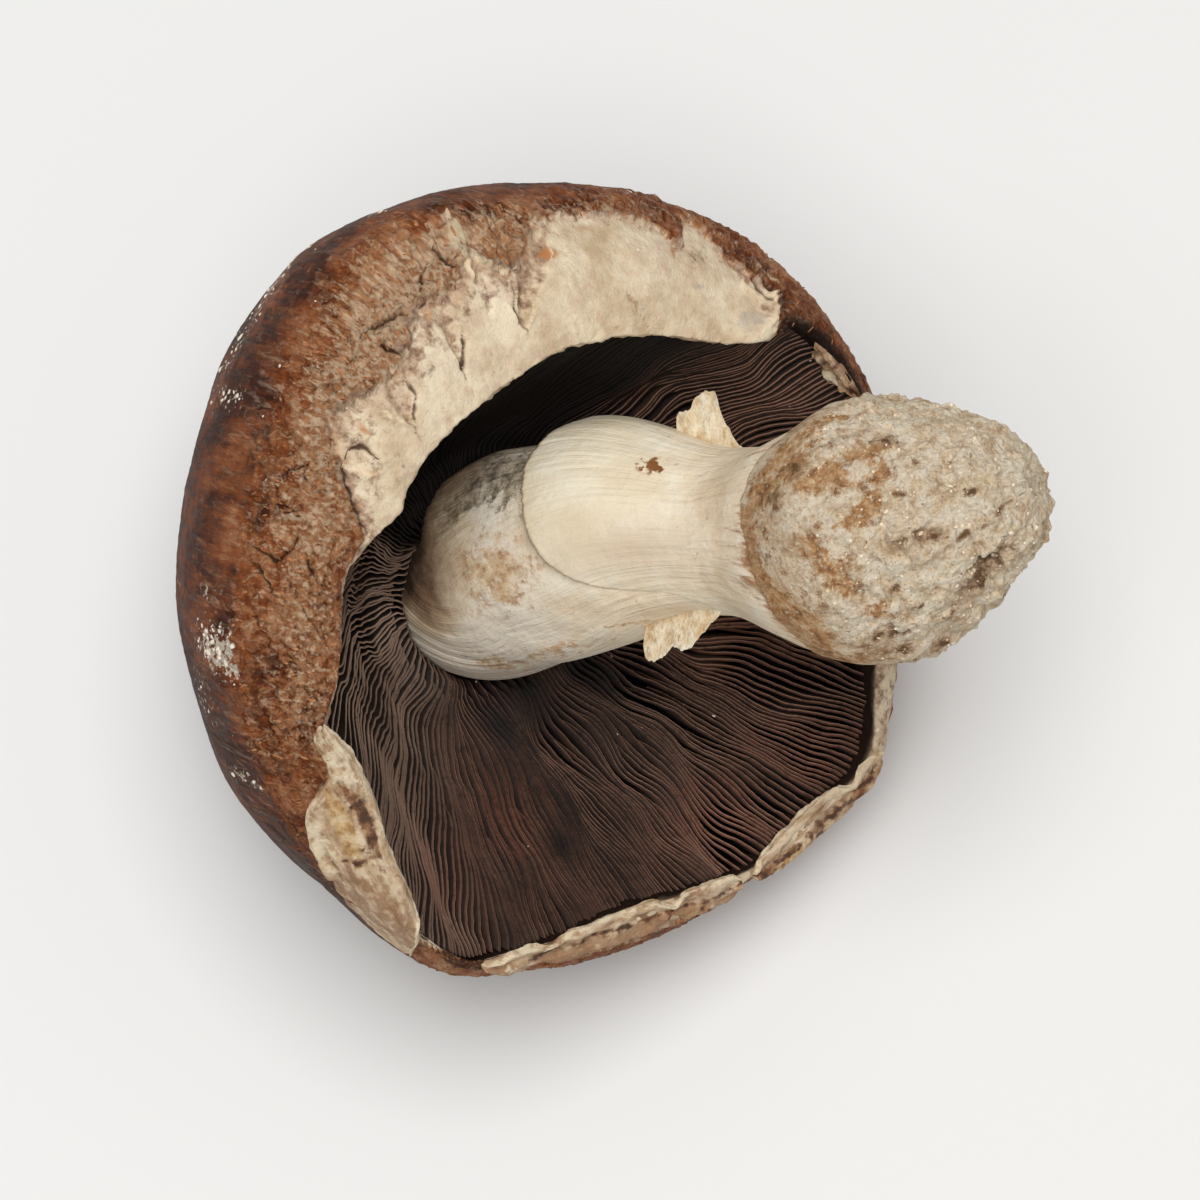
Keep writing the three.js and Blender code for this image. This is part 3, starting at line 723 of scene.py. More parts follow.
def grow(piece, tree, shape, finish, sizes):
    """Ends the tree, runs it on the piece with these sizes and keeps the result as a plain mesh."""
    shape = add(tree, "GeometryNodeRealizeInstances", {0: shape}).outputs[0]
    shape = add(tree, "GeometryNodeSetMaterial", {0: shape, "Material": finish}).outputs[0]
    add(tree, "NodeGroupOutput", {0: shape})
    modifier = piece.modifiers.new(tree.name, "NODES")
    modifier.node_group = tree
    for item in tree.interface.items_tree:
        if item.in_out == "INPUT" and item.name in sizes:
            modifier[item.identifier] = sizes[item.name]
    bpy.context.view_layer.update()
    result = bpy.data.meshes.new_from_object(piece.evaluated_get(bpy.context.evaluated_depsgraph_get()))
    piece.modifiers.remove(modifier)
    piece.data = result


def named(tree, mark, kind="FLOAT"):
    """The number or the direction that the mesh carries under that name."""
    return add(tree, "GeometryNodeInputNamedAttribute", {"Name": mark}, data_type=kind).outputs[0]


def scatter(name, source, mark, finish, sizes, form=(1, 1, 0.7), swing=6.28):
    """Strews loose bits over a piece, as closely as its mark says, and keeps them as a piece.
    They lie along the piece's growth, turned by up to swing."""
    tree, given = new_growth(name, sizes)
    density = times(tree, named(tree, mark), given["Per square metre"])
    spots = add(tree, "GeometryNodeDistributePointsOnFaces", {
        "Mesh": given["Geometry"], "Density": density, "Seed": given["Seed"]})
    chance = add(tree, "FunctionNodeRandomValue", {2: 0.0, 3: 1.0, "Seed": 5}, data_type="FLOAT").outputs[1]
    skewed = reckon(tree, "POWER", chance, 2.5)
    inputs = {"Value": skewed, "To Min": given["Smallest"], "To Max": given["Largest"]}
    size = add(tree, "ShaderNodeMapRange", inputs).outputs[0]
    shape = add(tree, "GeometryNodeMeshIcoSphere", {"Radius": 1.0, "Subdivisions": 1}).outputs[0]
    stretched = add(tree, "FunctionNodeRandomValue", {
        0: (0.6, 0.6, 0.5), 1: (1.3, 1.1, 1.0), "Seed": 8}, data_type="FLOAT_VECTOR").outputs[0]
    stretched = add(tree, "ShaderNodeVectorMath", {0: stretched, 1: form}, operation="MULTIPLY").outputs[0]
    scale = add(tree, "ShaderNodeVectorMath", {0: stretched, "Scale": size}, operation="SCALE").outputs[0]
    twist = add(tree, "FunctionNodeRandomValue", {
        0: (-0.3, -0.35, -swing), 1: (0.3, 0.1, swing), "Seed": 3}, data_type="FLOAT_VECTOR").outputs[0]
    laid = add(tree, "FunctionNodeAlignRotationToVector", {
        "Rotation": spots.outputs["Rotation"], "Vector": named(tree, "along", "FLOAT_VECTOR"),
    }, axis="X", pivot_axis="Z").outputs[0]
    turned = add(tree, "FunctionNodeRotateRotation", {
        "Rotation": laid, "Rotate By": twist}, rotation_space="LOCAL").outputs[0]
    strewn = add(tree, "GeometryNodeInstanceOnPoints", {
        "Points": spots.outputs["Points"], "Instance": shape, "Rotation": turned, "Scale": scale,
    }).outputs[0]
    bits = source.copy()
    bits.data = source.data.copy()
    bits.data.materials.clear()
    bits.name = name
    bpy.context.scene.collection.objects.link(bits)
    grow(bits, tree, strewn, finish, sizes)
    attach(bits, "root")


bloom_finish, tree, here = new_finish("white_bloom", shine=0.1)
dress(tree, (0.82, 0.74, 0.62, 1), 0.9, [])
scatter("bloom_crumbs", cap, "powder", bloom_finish, {
    "Per square metre": 2.2e6, "Smallest": 0.00006, "Largest": 0.0004, "Seed": 11})
flake_finish, tree, here = new_finish("curled_skin_fibres", shine=0.2)
fibre_tone = mottle(tree, here, 1500, detail=2)
colour = tones(tree, fibre_tone, (0.35, skin_brown), (0.5, (0.4, 0.17, 0.065)), (0.66, skin_tan))
dress(tree, colour, 0.6, [(fibre_tone, 0.0001)])
scatter("skin_fibres", cap, "loose", flake_finish, {
    "Per square metre": 0.9e6, "Smallest": 0.0003, "Largest": 0.0009, "Seed": 12,
}, form=(1.0, 0.22, 0.07), swing=0.5)


# ---- stem ----
# A stout cream stem, solid right through, that leans to one side and narrows under its ring. Its
# flesh is finely fibrous and stained brown where it leaves the gills, darkened there with painted
# shade as well, and it grew as one with the cap.

stem_middle_x = [(-10, 2.2), (-1, 2.2), (9, 0), (22, -1), (36, 1), (54, 3.3), (74, 4.2)]
stem_middle_y = [(-10, 0.6), (-1, 0.6), (9, 5), (22, 11.5), (36, 17), (54, 24.2), (74, 36)]
stem_radii = [
    (-10, 12.2), (-1, 12.4), (7, 13), (15, 13.3), (22, 12.7), (28, 11.3), (34, 10.4), (39, 11),
    (46, 14), (50, 15.6), (54, 16.5), (60, 14.8), (64, 11),
]
stem_tip = 68
stem_girth_radius = 13


def beside_stem(height, turn, radius):
    """Points at a radius from the stem's middle line; turn 0 is the side that faces up."""
    def middle(level):
        return placed(through(stem_middle_x, level), through(stem_middle_y, level), level)
    along = unit(middle(height + 0.5) - middle(height - 0.5))
    up = np.array([-math.sin(math.radians(cap_lean)), 0, math.cos(math.radians(cap_lean))])
    front = unit(up - along * (along @ up)[..., None])
    side = np.cross(along, front)
    angle = np.radians(turn)[..., None]
    return middle(height) + (front * np.cos(angle) + side * np.sin(angle)) * radius[..., None]


def rounded_off(pairs, tip, height):
    start, radius = pairs[-1]
    past = np.clip((height - start) / (tip - start), 0, 1)
    return np.where(height <= start, through(pairs, height), radius * np.sqrt(1 - past**2))


def stem_place(height, turn):
    """Millimetres along and round the stem."""
    return placed(height, 0.25 * turn)


def side_dent(height, turn):
    """The long dent in the side of the stem, which the crust on it follows."""
    return patches(placed(height, turn), [(3.4, 47, -78, 7, 38), (1.2, 60, -78, 8, 38)], placed)


def stem_lumps(height, turn):
    """How far the flesh stands out, the same for all that grows on the stem."""
    around = polar(turn, stem_girth_radius, height)
    lumps = 0.4 * grain(around / 9.0, 61) + 0.12 * grain(around / (2.2, 2.2, 8.0), 62)
    return lumps - side_dent(height, turn)


def round_marks(height, turn):
    """The stains that the stem, its ring and its crust share."""
    around = polar(turn, stem_girth_radius, height)
    here = stem_place(height, turn) + wander(around / 2.0, 0.5, 64)
    rim = [(54.8, -8), (49.4, -1), (46.3, 13), (46.9, 26), (47.7, 38), (49.2, 47), (51, 52), (52.9, 60)]
    streaks = [
        (rim + [(53, 74)], 1.3, 1.3), ([(48.6, 50), (50.0, 66), (51, 86), (52, 104)], 2.6, 1.2),
        ([(46.5, 24), (47.2, 40), (48.2, 50)], 1.6, 1.0), ([(48.5, -8), (53, -20), (58.4, -40)], 1.6, 1.0),
        ([(55.0, 1), (57.9, -5), (61.3, -11), (60.6, -17), (63.6, -20)], 1.0, 1.4),
        ([(63.4, -14), (62.7, 4), (61.3, 13), (58.5, 16)], 0.6, 1.3), ([(52, -4), (55, -14)], 1.4, 1.0),
        ([(55, 18), (56.5, 25), (57.3, 37), (58.1, 46)], 1.0, 0.9), ([(58.2, 54), (59.6, 60)], 1.0, 0.9),
        ([(44, -24), (49, -27)], 1.0, 0.6), ([(43, -34), (46, -30)], 0.8, 0.5),
        ([(50, 150), (52, 180)], 2.0, 0.6), ([(52, -120), (50, -180)], 2.0, 0.6),
    ]
    orange = np.zeros(height.shape)
    for spots, width, strength in streaks:
        line = 0.65 * trail(here, spots, width, stem_place)
        line += 0.4 * trail(here, spots, 2.6 * width, stem_place)
        orange = np.maximum(orange, line * strength)
    return around / 1000, orange


stem_rows = np.concatenate([
    [seat_height + 0.4], np.linspace(seat_height + 0.4, 60, 130, endpoint=False),
    np.linspace(60, stem_tip, 14),
])
stem_turn, stem_height = np.meshgrid(np.arange(-180, 180, 1.6), stem_rows)
stem_radius = rounded_off(stem_radii, stem_tip, stem_height)
stem_radius[0] = 0
stem_growth, stem_orange = round_marks(stem_height, stem_turn)
stem_points = beside_stem(stem_height, stem_turn, stem_radius)
stem_proud = stem_lumps(stem_height, stem_turn) + 0.06 * grain(stem_growth * 1000 / (0.9, 0.9, 6.0), 63)
stem_proud += patches(placed(stem_height, stem_turn), [(2.4, 5, -48, 9, 30)], placed)
stem_points = stem_points + outward(stem_points) * (stem_proud * ease(-9.5, -4, stem_height))[..., None]

# Stains and clouds, as strength, height and place round in mm, half width and half length. The
# clouds are dark stain with painted shade, on the stem's upper side near the gills.
stem_here = stem_place(stem_height, stem_turn)
stain_and_shade = patches(stem_here, [
    (1.6, 12.4, 4.9, 3.6, 4.2), (0.5, 8.6, 2, 2.2, 3.2), (0.5, 5.5, 19, 3.5, 2), (0.4, 14, 21, 6, 2),
    (0.9, 3, 18, 1.6, 3), (0.8, 12.5, 18.8, 3.5, 1.2)], placed)
# The crease is painted in: a line of painted shade where the stem creases.
crease = [(21.5, 76), (26.4, 88), (30.1, 108), (33, 125)]
stain_and_shade = np.maximum(stain_and_shade, 0.9 * trail(stem_here, crease, 0.5, stem_place))

# The foot of the stem, brown with stain and darkened with painted shade, reaches up to different
# heights round it.
dusk_top = through([
    (-70, 20), (-50, 15), (-35, 12), (-10, 12), (8, 11.5), (24, 9.5), (36, 6), (50, 1.5), (70, -2),
    (180, -4),
], stem_turn)
dusk_deep = np.maximum(dusk_top, 9)
foot_stain_and_shade = np.clip((dusk_top - stem_height - 0.9 * grain(stem_points / 2.6, 67)) / dusk_deep, 0, 1.3)
# Fresh cream flesh between the foot and the ring, with painted light as well where the cap's lip and the
# ring shade the stem.
fresh_and_painted_light = ease(19, 13, stem_height) * ease(0.3, 0.0, foot_stain_and_shade)
cloud_and_shade = patches(stem_here, [
    (1.5, 9, -9.5, 6.5, 4.6), (0.9, 15, -7.5, 3, 4.4), (1.2, 5, -7, 5, 4),
    (-1.1, 10.6, -1.9, 2.8, 2.2)], placed)
stem = make_body("stem_flesh", stem_points, {
    "growth": stem_growth, "orange": stem_orange, "stain_and_shade": stain_and_shade, "foot_stain_and_shade": foot_stain_and_shade, "cloud_and_shade": cloud_and_shade,
    "fresh_and_painted_light": fresh_and_painted_light,
})

stem_deep = (0.76, 0.61, 0.42)
stem_cream = (0.87, 0.73, 0.54)
stem_pale = (0.93, 0.83, 0.66)
stem_brown = (0.5, 0.27, 0.12)
orange_brown = (0.3, 0.12, 0.04)


def stem_skin(tree, here, growth):
    """The stem's own colour and relief, which the foot of the ring and the crust's rim share."""
    tone = mottle(tree, here, 130, detail=5, roughness=0.6)
    fibre = mottle(tree, growth, 1100, detail=5, stretch=(1, 1, 0.1), roughness=0.6)
    colour = tones(tree, tone, (0.35, stem_deep), (0.5, stem_cream), (0.64, stem_pale))
    colour = toned(tree, colour, (fibre, 0.56, 0.72, 0.22, (0.5, 0.34, 0.19)))
    broken = mottle(tree, growth, 900, detail=7, stretch=(1, 1, 0.25), roughness=0.7)
    orange = tones(
        tree, broken, (0.38, (0.8, 0.56, 0.33)), (0.5, (0.56, 0.3, 0.13)), (0.62, orange_brown))
    colour = marked(tree, colour, ("orange", broken, 0.7, 0.25, 1.2, 0.9, orange))
    pins = mottle(tree, here, 1000, detail=2)
    return toned(tree, colour, (pins, 0.69, 0.74, 0.55, stem_brown)), tone, fibre


stem_finish, tree, here = new_finish("stem_flesh_finish", flesh_glow=0.12, shine=0.35)
colour, stem_tone, stem_fibre = stem_skin(tree, here, read(tree, "growth"))
cloudy = mottle(tree, here, 420, detail=8, roughness=0.75)
stained = tones(
    tree, cloudy, (0.38, (0.36, 0.18, 0.075)), (0.5, (0.66, 0.42, 0.22)), (0.62, (0.86, 0.7, 0.48)))
# Fresh cream and painted light on the stem below the ring.
colour = toned(tree, colour, (cloudy, 0.5, 0.66, 0.4, (0.7, 0.54, 0.36)), within=read(tree, "fresh_and_painted_light"))
colour = washed(tree, colour, ("fresh_and_painted_light", 0.6, (0.97, 0.89, 0.76)))
speckled = mottle(tree, here, 620, detail=7, roughness=0.75)
smoky = tones(
    tree, speckled, (0.4, (0.07, 0.045, 0.028)), (0.5, (0.3, 0.235, 0.155)), (0.6, (0.6, 0.5, 0.36)))
colour = marked(
    tree, colour, ("stain_and_shade", speckled, 1.0, 0.1, 1.3, 0.88, stained),
    ("cloud_and_shade", cloudy, 1.1, 0.1, 1.3, 0.9, smoky))
uneven = mottle(tree, here, 160, detail=5, roughness=0.65)
foot_stain_and_shade_share = plus(tree, read(tree, "foot_stain_and_shade"), sift(tree, uneven, 0.3, 0.7, -0.14, 0.14))
# Brown stain and painted shade at the foot of the stem, near black at the gills.
colour = toned(
    tree, colour, (foot_stain_and_shade_share, 0.05, 0.65, 0.75, (0.56, 0.38, 0.23)),
    (foot_stain_and_shade_share, 0.4, 0.9, 0.85, (0.24, 0.13, 0.07)), (foot_stain_and_shade_share, 0.7, 1.15, 0.95, (0.035, 0.019, 0.012)))
dress(tree, colour, 0.66, [(stem_tone, 0.0007), (stem_fibre, 0.0004)])
keep(stem, stem_finish, "stem_flesh", "stem")


# ---- ring ----
# What is left of the veil that once closed the cap: a thin cream sleeve grown to the stem, with a
# finely scalloped edge where it tore from the gills. Two torn flaps of it stand off its lower end.

ring_edge = [
    (-60, 19.8), (-28, 18), (-7, 18.2), (10, 18.6), (24, 19.9), (38, 22), (46, 23.7), (52, 25.6),
    (58, 28.4), (64, 32), (72, 35), (92, 35.5), (118, 31), (150, 26.5), (180, 24), (230, 22),
]
ring_standoff = [
    (-60, 2.7), (-20, 2.1), (10, 1.6), (35, 0.9), (48, 0.45), (58, -0.1), (66, -0.5), (90, -0.5),
    (112, 0.3), (160, 1.2), (230, 2.4),
]
ring_end = 40.5

ring_share, ring_turn = np.meshgrid(np.linspace(0, 1, 44), np.arange(-180, 180, 0.72), indexing="ij")
around_ring = polar(ring_turn, stem_girth_radius + 1, 0)
torn_edge = through(ring_edge, ring_turn, 360) + 0.3 * grain(around_ring / 4.0, 72)
torn_edge += 0.2 * np.abs(grain(around_ring / 1.0, 71)) + 0.12 * grain(around_ring / 0.5, 73)
ring_height = mix(torn_edge, ring_end, ring_share**1.15)
standoff = through(ring_standoff, ring_turn, 360) * ease(38.5, 17, ring_height)
ring_radius = through(stem_radii, ring_height) + stem_lumps(ring_height, ring_turn)
ring_growth, ring_orange = round_marks(ring_height, ring_turn)
striae = grain(ring_growth * 1000 / (0.55, 0.55, 14.0), 74) * ease(0.6, 0.0, ring_share)
ring_radius += standoff + 0.22 * (1 - ring_share) ** 0.5 - 0.12
ring_radius += (0.16 * grain(ring_growth * 1000 / 6.0, 75) + 0.035 * striae) * (1 - ring_share)
ring_inside = ring_radius - 0.3 - 0.5 * ring_share - 0.8 * ease(0.7, 1, ring_share)
ring_points = np.concatenate([
    beside_stem(ring_height, ring_turn, ring_radius),
    beside_stem(ring_height, ring_turn, ring_inside)[::-1],
])
ring_here = stem_place(ring_height, ring_turn)
ring_values = {
    "growth": ring_growth, "orange": ring_orange, "rim": ease(0.05, 0.0, ring_share),
    "merge": ease(0.3, 0.85, ring_share), "halo": dab(ring_here, (30.2, -6.2), 2.2, 1.7),
    "spot": patches(ring_here, [(1.6, 30.3, -6.4, 1.2, 1)], placed),
    "painted_shade": patches(ring_here, [(1, 33.5, 7.5, 9, 6), (0.9, 27, 7.5, 6, 4)], placed),
}
ring = make_body("ring_sleeve", ring_points, {
    mark: np.concatenate([values, values[::-1]]) for mark, values in ring_values.items()
}, tips=False)

veil_deep = (0.8, 0.66, 0.46)
veil_cream = (0.87, 0.75, 0.56)
veil_pale = (0.91, 0.82, 0.66)
veil_shade = (0.62, 0.46, 0.27)

ring_finish, tree, here = new_finish("ring_skin_finish", flesh_glow=0.12, shine=0.35)
growth = read(tree, "growth")
veil_tone = mottle(tree, here, 130, detail=5, roughness=0.6)
veil_lines = mottle(tree, growth, 1300, detail=4, stretch=(1, 1, 0.06))
colour = tones(tree, veil_tone, (0.32, veil_deep), (0.5, veil_cream), (0.66, veil_pale))
colour = toned(tree, colour, (veil_lines, 0.56, 0.72, 0.16, veil_shade))
blotchy = mottle(tree, here, 700, detail=4, roughness=0.6)
bare_stem, stem_tone, stem_fibre = stem_skin(tree, here, growth)
colour = marked(tree, colour, ("merge", veil_tone, 0.3, 0.0, 1.0, 1.0, bare_stem))
# Painted shade on one side of the ring, a browner torn rim and a pale halo round its dark spot.
colour = washed(
    tree, colour, ("painted_shade", 0.6, (0.66, 0.53, 0.38)), ("rim", 0.45, (0.6, 0.4, 0.2)),
    ("halo", 0.35, (0.9, 0.72, 0.5)))
colour = marked(tree, colour, ("spot", blotchy, 1.0, 0.5, 1.1, 1.0, (0.24, 0.09, 0.025)))
dress(tree, colour, 0.62, [(stem_tone, 0.0007), (veil_lines, 0.0003)])
keep(ring, ring_finish, "veil_skin", "ring")


def make_flap(name, root_height, root_turn, root_line, free_line, thickness, curl, seed):
    """A torn flap in the stem's lengthwise plane: how far its root and free edge lie from the stem."""
    def by_root(ahead, out):
        height = np.array([root_height]) + ahead
        return beside_stem(height, np.array([root_turn]), through(stem_radii, height) + out)[0]
    start = by_root(0, 0)
    ahead, away = unit(by_root(1, 0) - start), by_root(0, 1) - start
    facing = np.cross(ahead, away)
    share, turn = np.meshgrid(np.linspace(0, 1, 64), np.arange(0, 360, 9), indexing="ij")
    along = share * root_line[-1][0]
    spots = placed(along, seed, 0)
    torn = 0.3 * grain(spots / 0.9, seed) + 0.15 * grain(spots / 0.35, seed + 1)
    root = through(root_line, along)
    across = 0.5 - 0.5 * np.cos(np.radians(turn))
    out = mix(root, np.maximum(through(free_line, along) + torn, root + 0.1), across)
    wall = thickness * np.sin(np.radians(turn)) * (1.25 - 0.75 * across)
    spots = placed(along, out, seed + 0.1 * wall)
    wall += curl * across**2 + 0.35 * grain(spots / 2.5, seed + 2) * across
    wall += 0.1 * grain(spots / 0.8, seed + 3)
    points = start + ahead * along[..., None] + away * out[..., None] + facing * wall[..., None]
    return make_body(name, points, {"edge": across})


flap_finish, tree, here = new_finish("torn_flap_finish", flesh_glow=0.15, shine=0.3)
flap_tone = mottle(tree, here, 420, detail=6, roughness=0.65)
colour = tones(
    tree, flap_tone, (0.34, (0.58, 0.38, 0.2)), (0.48, (0.78, 0.63, 0.42)), (0.62, (0.88, 0.78, 0.6)))
colour = toned(tree, colour, (read(tree, "edge"), 0.5, 0.0, 0.5, (0.55, 0.32, 0.14)))
dress(tree, colour, 0.7, [(flap_tone, 0.0008), (mottle(tree, here, 1500, detail=3), 0.0003)])

upper_flap = make_flap(
    "ring_flap_upper", 28.6, -72, [(0, -0.3), (2.2, -1.4), (9.4, -1.2), (11, -0.6)],
    [(0, 0.6), (0.15, 2.4), (0.7, 3.6), (1.6, 3.9), (2.3, 4.3), (2.9, 5.6), (3.9, 6.6), (5.2, 6.9),
     (6.1, 6.4), (6.6, 5.0), (7.1, 3.6), (8.2, 2.2), (9.4, 1.0), (11, 0.2)], 0.42, 0.8, 7)
lower_flap = make_flap(
    "ring_flap_lower", 25.2, 97, [(0, -0.6), (4, -1.2), (13, -1.2), (15.6, -0.6)],
    [(0, 0.4), (0.3, 2.8), (1.0, 4.3), (2.4, 4.9), (4.0, 4.7), (5.0, 4.0), (5.8, 4.4),
     (7.0, 5.1), (8.4, 5.0), (9.8, 4.1), (11.2, 3.2), (12.8, 2.0), (14.4, 1.0), (15.6, 0.3)], 0.6, -0.6, 9)
for flap_piece in (upper_flap, lower_flap):
    flap_piece.data.materials.append(flap_finish)
    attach(flap_piece, "root")


# ---- base crust ----
# Growing soil that clings to the foot of the stem: a rough beige crust, rust brown along its rim,
# with white mould, dark bits and loose crumbs. It is stuck to the stem by the mushroom's threads.

crust_radii = [(40, 12), (47, 14.6), (54, 17.1), (60, 15.6), (66, 11.8), (69, 9)]
crust_tip = 73.5
crust_rim = [
    (-60, 50), (-34, 48), (-22, 45.5), (-8, 44), (13, 43.6), (32, 44.6), (50, 46), (66, 47), (90, 48),
    (140, 48), (180, 46), (230, 48),
]
# Dark bits and white mould, as height, turn and size in mm.
crust_darks = [
    (51.7, 8, 0.8), (50.6, 4, 0.5), (69, 4, 0.45), (72.3, 34, 0.6), (65.4, 28, 0.5), (66.4, 33, 0.6),
    (57.9, 71, 0.6), (58.1, 87, 0.7), (63.2, 83, 0.5), (55, 47, 0.3), (63.4, -24, 0.9), (66, -38, 0.5),
    (65.4, 33, 0.8), (67.8, 80, 2.2), (70.5, 10, 0.7), (68.5, 40, 0.5), (61.5, 50, 0.5), (64.4, 5, 0.5),
    (70.5, 40, 0.4), (56.5, 22, 0.4), (69.8, 74, 1.7), (54.4, -8, 1.3), (51.8, 3, 0.9), (63, 30, 1.2),
    (66, -12, 0.4), (62, 64, 0.4), (60, 100, 0.9), (66, 120, 0.8),
]
crust_whites = [
    (54.8, 5, 1.1), (55.9, 10, 1.0), (53.5, 14, 0.9), (67.5, 22, 1.7), (65, 51, 1.8), (66.4, 60, 1.4),
    (56.1, 51, 1.2), (57.4, 62, 1.5), (58, -30, 1.4), (60, 140, 3.0), (58, -120, 3.0), (66, -80, 2),
    (66.6, 23, 1.6), (65.0, 58, 2.0), (62, 38, 1.6), (69.5, 25, 1.8), (60.5, 75, 1.6), (61, -8, 1.2),
]
# Hollows and ridges, as lines of height and turn.
crust_hollows = [[(67.4, 64), (69.6, 74), (71.4, 80)], [(64.9, 28), (66.8, 33)], [(57, 70), (59.4, 74)]]
crust_ridges = [[(67.8, 50), (69.4, 60), (71.5, 57)], [(62.8, 24), (64.6, 32), (63.8, 46)]]

crust_share, crust_turn = np.meshgrid(np.linspace(0, 1, 150), np.arange(-180, 180, 1.05), indexing="ij")
torn_rim = through(crust_rim, crust_turn, 360)
torn_rim += 0.7 * layered(polar(crust_turn, stem_girth_radius + 2, 0) / 3.0, 81)
crust_height = mix(crust_tip, torn_rim, crust_share**1.35)
crust_radius = rounded_off(crust_radii, crust_tip, crust_height)
crust_growth, crust_orange = round_marks(crust_height, crust_turn)
crust_smooth = beside_stem(crust_height, crust_turn, crust_radius)
crust_here = stem_place(crust_height, crust_turn) + wander(crust_smooth / 1.2, 0.5, 83)
coarse = ease(52, 60, crust_height + 2.5 * grain(crust_smooth / 6.0, 87))
crust_proud = 0.5 * layered(crust_smooth / 6.0, 82) + coarse * 0.58 * layered(crust_smooth / 2.6, 85, 4)
crust_proud -= side_dent(crust_height, crust_turn)
clots = np.clip(grain(crust_smooth / 1.1, 88), 0, 1)
crust_proud += coarse * (0.5 * clots**1.5 + 0.16 * layered(crust_smooth / 0.8, 89, 2))
crust_proud += (1 - coarse) * 0.12 * layered(crust_growth * 1000 / (0.9, 0.9, 2.2), 90)
hollow, ridge = [
    np.maximum.reduce([trail(crust_here, spots, width, stem_place) for spots in lines])
    for lines, width in ((crust_hollows, 1.1), (crust_ridges, 0.5))
]
crust_proud += 0.7 * ridge - 1.6 * hollow
near_rim = ease(0.84, 1.0, crust_share)
on_stem = stem_lumps(crust_height, crust_turn)
stem_surface = rounded_off(stem_radii, stem_tip, crust_height)
crust_proud = mix(crust_proud, on_stem - 0.45 * near_rim, ease(0.7, 0.95, crust_share))
level_radius = mix(crust_radius, stem_surface + 0.15, ease(0.7, 0.85, crust_share))

# The crust hides the stem's foot all over, save at its own thin rim.
covered = np.maximum(crust_proud, stem_surface + on_stem + 0.25 - level_radius)
crust_proud = np.where(crust_share < 0.95, covered, crust_proud)
crust_smooth = beside_stem(crust_height, crust_turn, level_radius)
crust_points = crust_smooth - outward(crust_smooth) * crust_proud[..., None]
sunk = beside_stem(crust_height[-1:] + 2, crust_turn[-1:], 0 * crust_turn[-1:] + 8)
crust_along = lengthwise(crust_points)
crust_points = np.concatenate([crust_points, sunk, sunk])
crust_dark, crust_white = [
    patches(crust_here, [(1, *bit, bit[-1]) for bit in bits], stem_place, np.maximum)
    for bits in (crust_darks, crust_whites)
]
crust_values = {
    "growth": crust_growth, "orange": 1.25 * crust_orange, "merge": near_rim, "coarse": coarse,
    # The hollows are darkened as well: painted shade in them.
    "dark": np.maximum(crust_dark, 0.8 * hollow), "white": crust_white, "along": crust_along,
}
crust = make_body("base_crust_soil", crust_points, {
    mark: np.concatenate([values, values[-1:], values[-1:]]) for mark, values in crust_values.items()
})

crust_brown = (0.6, 0.42, 0.26)
crust_beige = (0.88, 0.69, 0.46)
crust_cream = (0.94, 0.8, 0.6)
crust_chalk = (0.96, 0.84, 0.66)

crust_finish, tree, here = new_finish("soil_crust_finish", shine=0.12)
growth = read(tree, "growth")
crumb_tone = mottle(tree, here, 520, detail=7, roughness=0.72)
felt = mottle(tree, growth, 380, detail=8, stretch=(1, 1, 0.4), roughness=0.72)
patchy = mottle(tree, here, 230, detail=6, roughness=0.65)
smooth_colour = tones(
    tree, felt, (0.38, (0.5, 0.32, 0.18)), (0.5, (0.82, 0.63, 0.42)), (0.63, (0.95, 0.83, 0.64)))
rough_colour = tones(
    tree, crumb_tone, (0.36, crust_brown), (0.45, crust_beige), (0.53, crust_cream), (0.6, crust_chalk))
rough_colour = toned(
    tree, rough_colour, (patchy, 0.45, 0.34, 0.5, (0.5, 0.32, 0.18)),
    (patchy, 0.54, 0.66, 0.6, crust_chalk))
rusty = mottle(tree, here, 620, detail=8, roughness=0.72)
orange_tone = tones(
    tree, rusty, (0.4, (0.8, 0.55, 0.31)), (0.51, (0.58, 0.29, 0.11)), (0.64, (0.22, 0.085, 0.03)))
colour = marked(
    tree, smooth_colour, ("coarse", felt, 0.6, 0.1, 0.9, 1.0, rough_colour),
    ("orange", rusty, 0.8, 0.1, 1.1, 0.92, orange_tone),
    ("white", crumb_tone, 0.7, 0.1, 1.1, 0.85, crust_chalk))
sandy = mottle(tree, here, 1500, detail=3, roughness=0.6)
colour = toned(
    tree, colour, (sandy, 0.44, 0.33, 0.45, (0.5, 0.33, 0.19)),
    (sandy, 0.56, 0.68, 0.5, (0.97, 0.86, 0.67)))
bare_stem = stem_skin(tree, here, growth)[0]
colour = marked(
    tree, colour, ("dark", crumb_tone, 0.8, 0.05, 0.7, 0.75, (0.42, 0.24, 0.12)),
    ("dark", crumb_tone, 0.9, 0.55, 1.3, 0.85, (0.14, 0.065, 0.028)),
    ("merge", felt, 0.5, 0.1, 0.9, 1.0, bare_stem))
bits = mottle(tree, here, 800, detail=3)
colour = toned(tree, colour, (bits, 0.68, 0.73, 0.8, (0.22, 0.105, 0.045)), within=read(tree, "coarse"))
dress(tree, colour, 0.9, [(patchy, 0.0012), (crumb_tone, 0.0012), (felt, 0.0004), (sandy, 0.0004)])
keep(crust, crust_finish, "soil_crust", "base_crust")

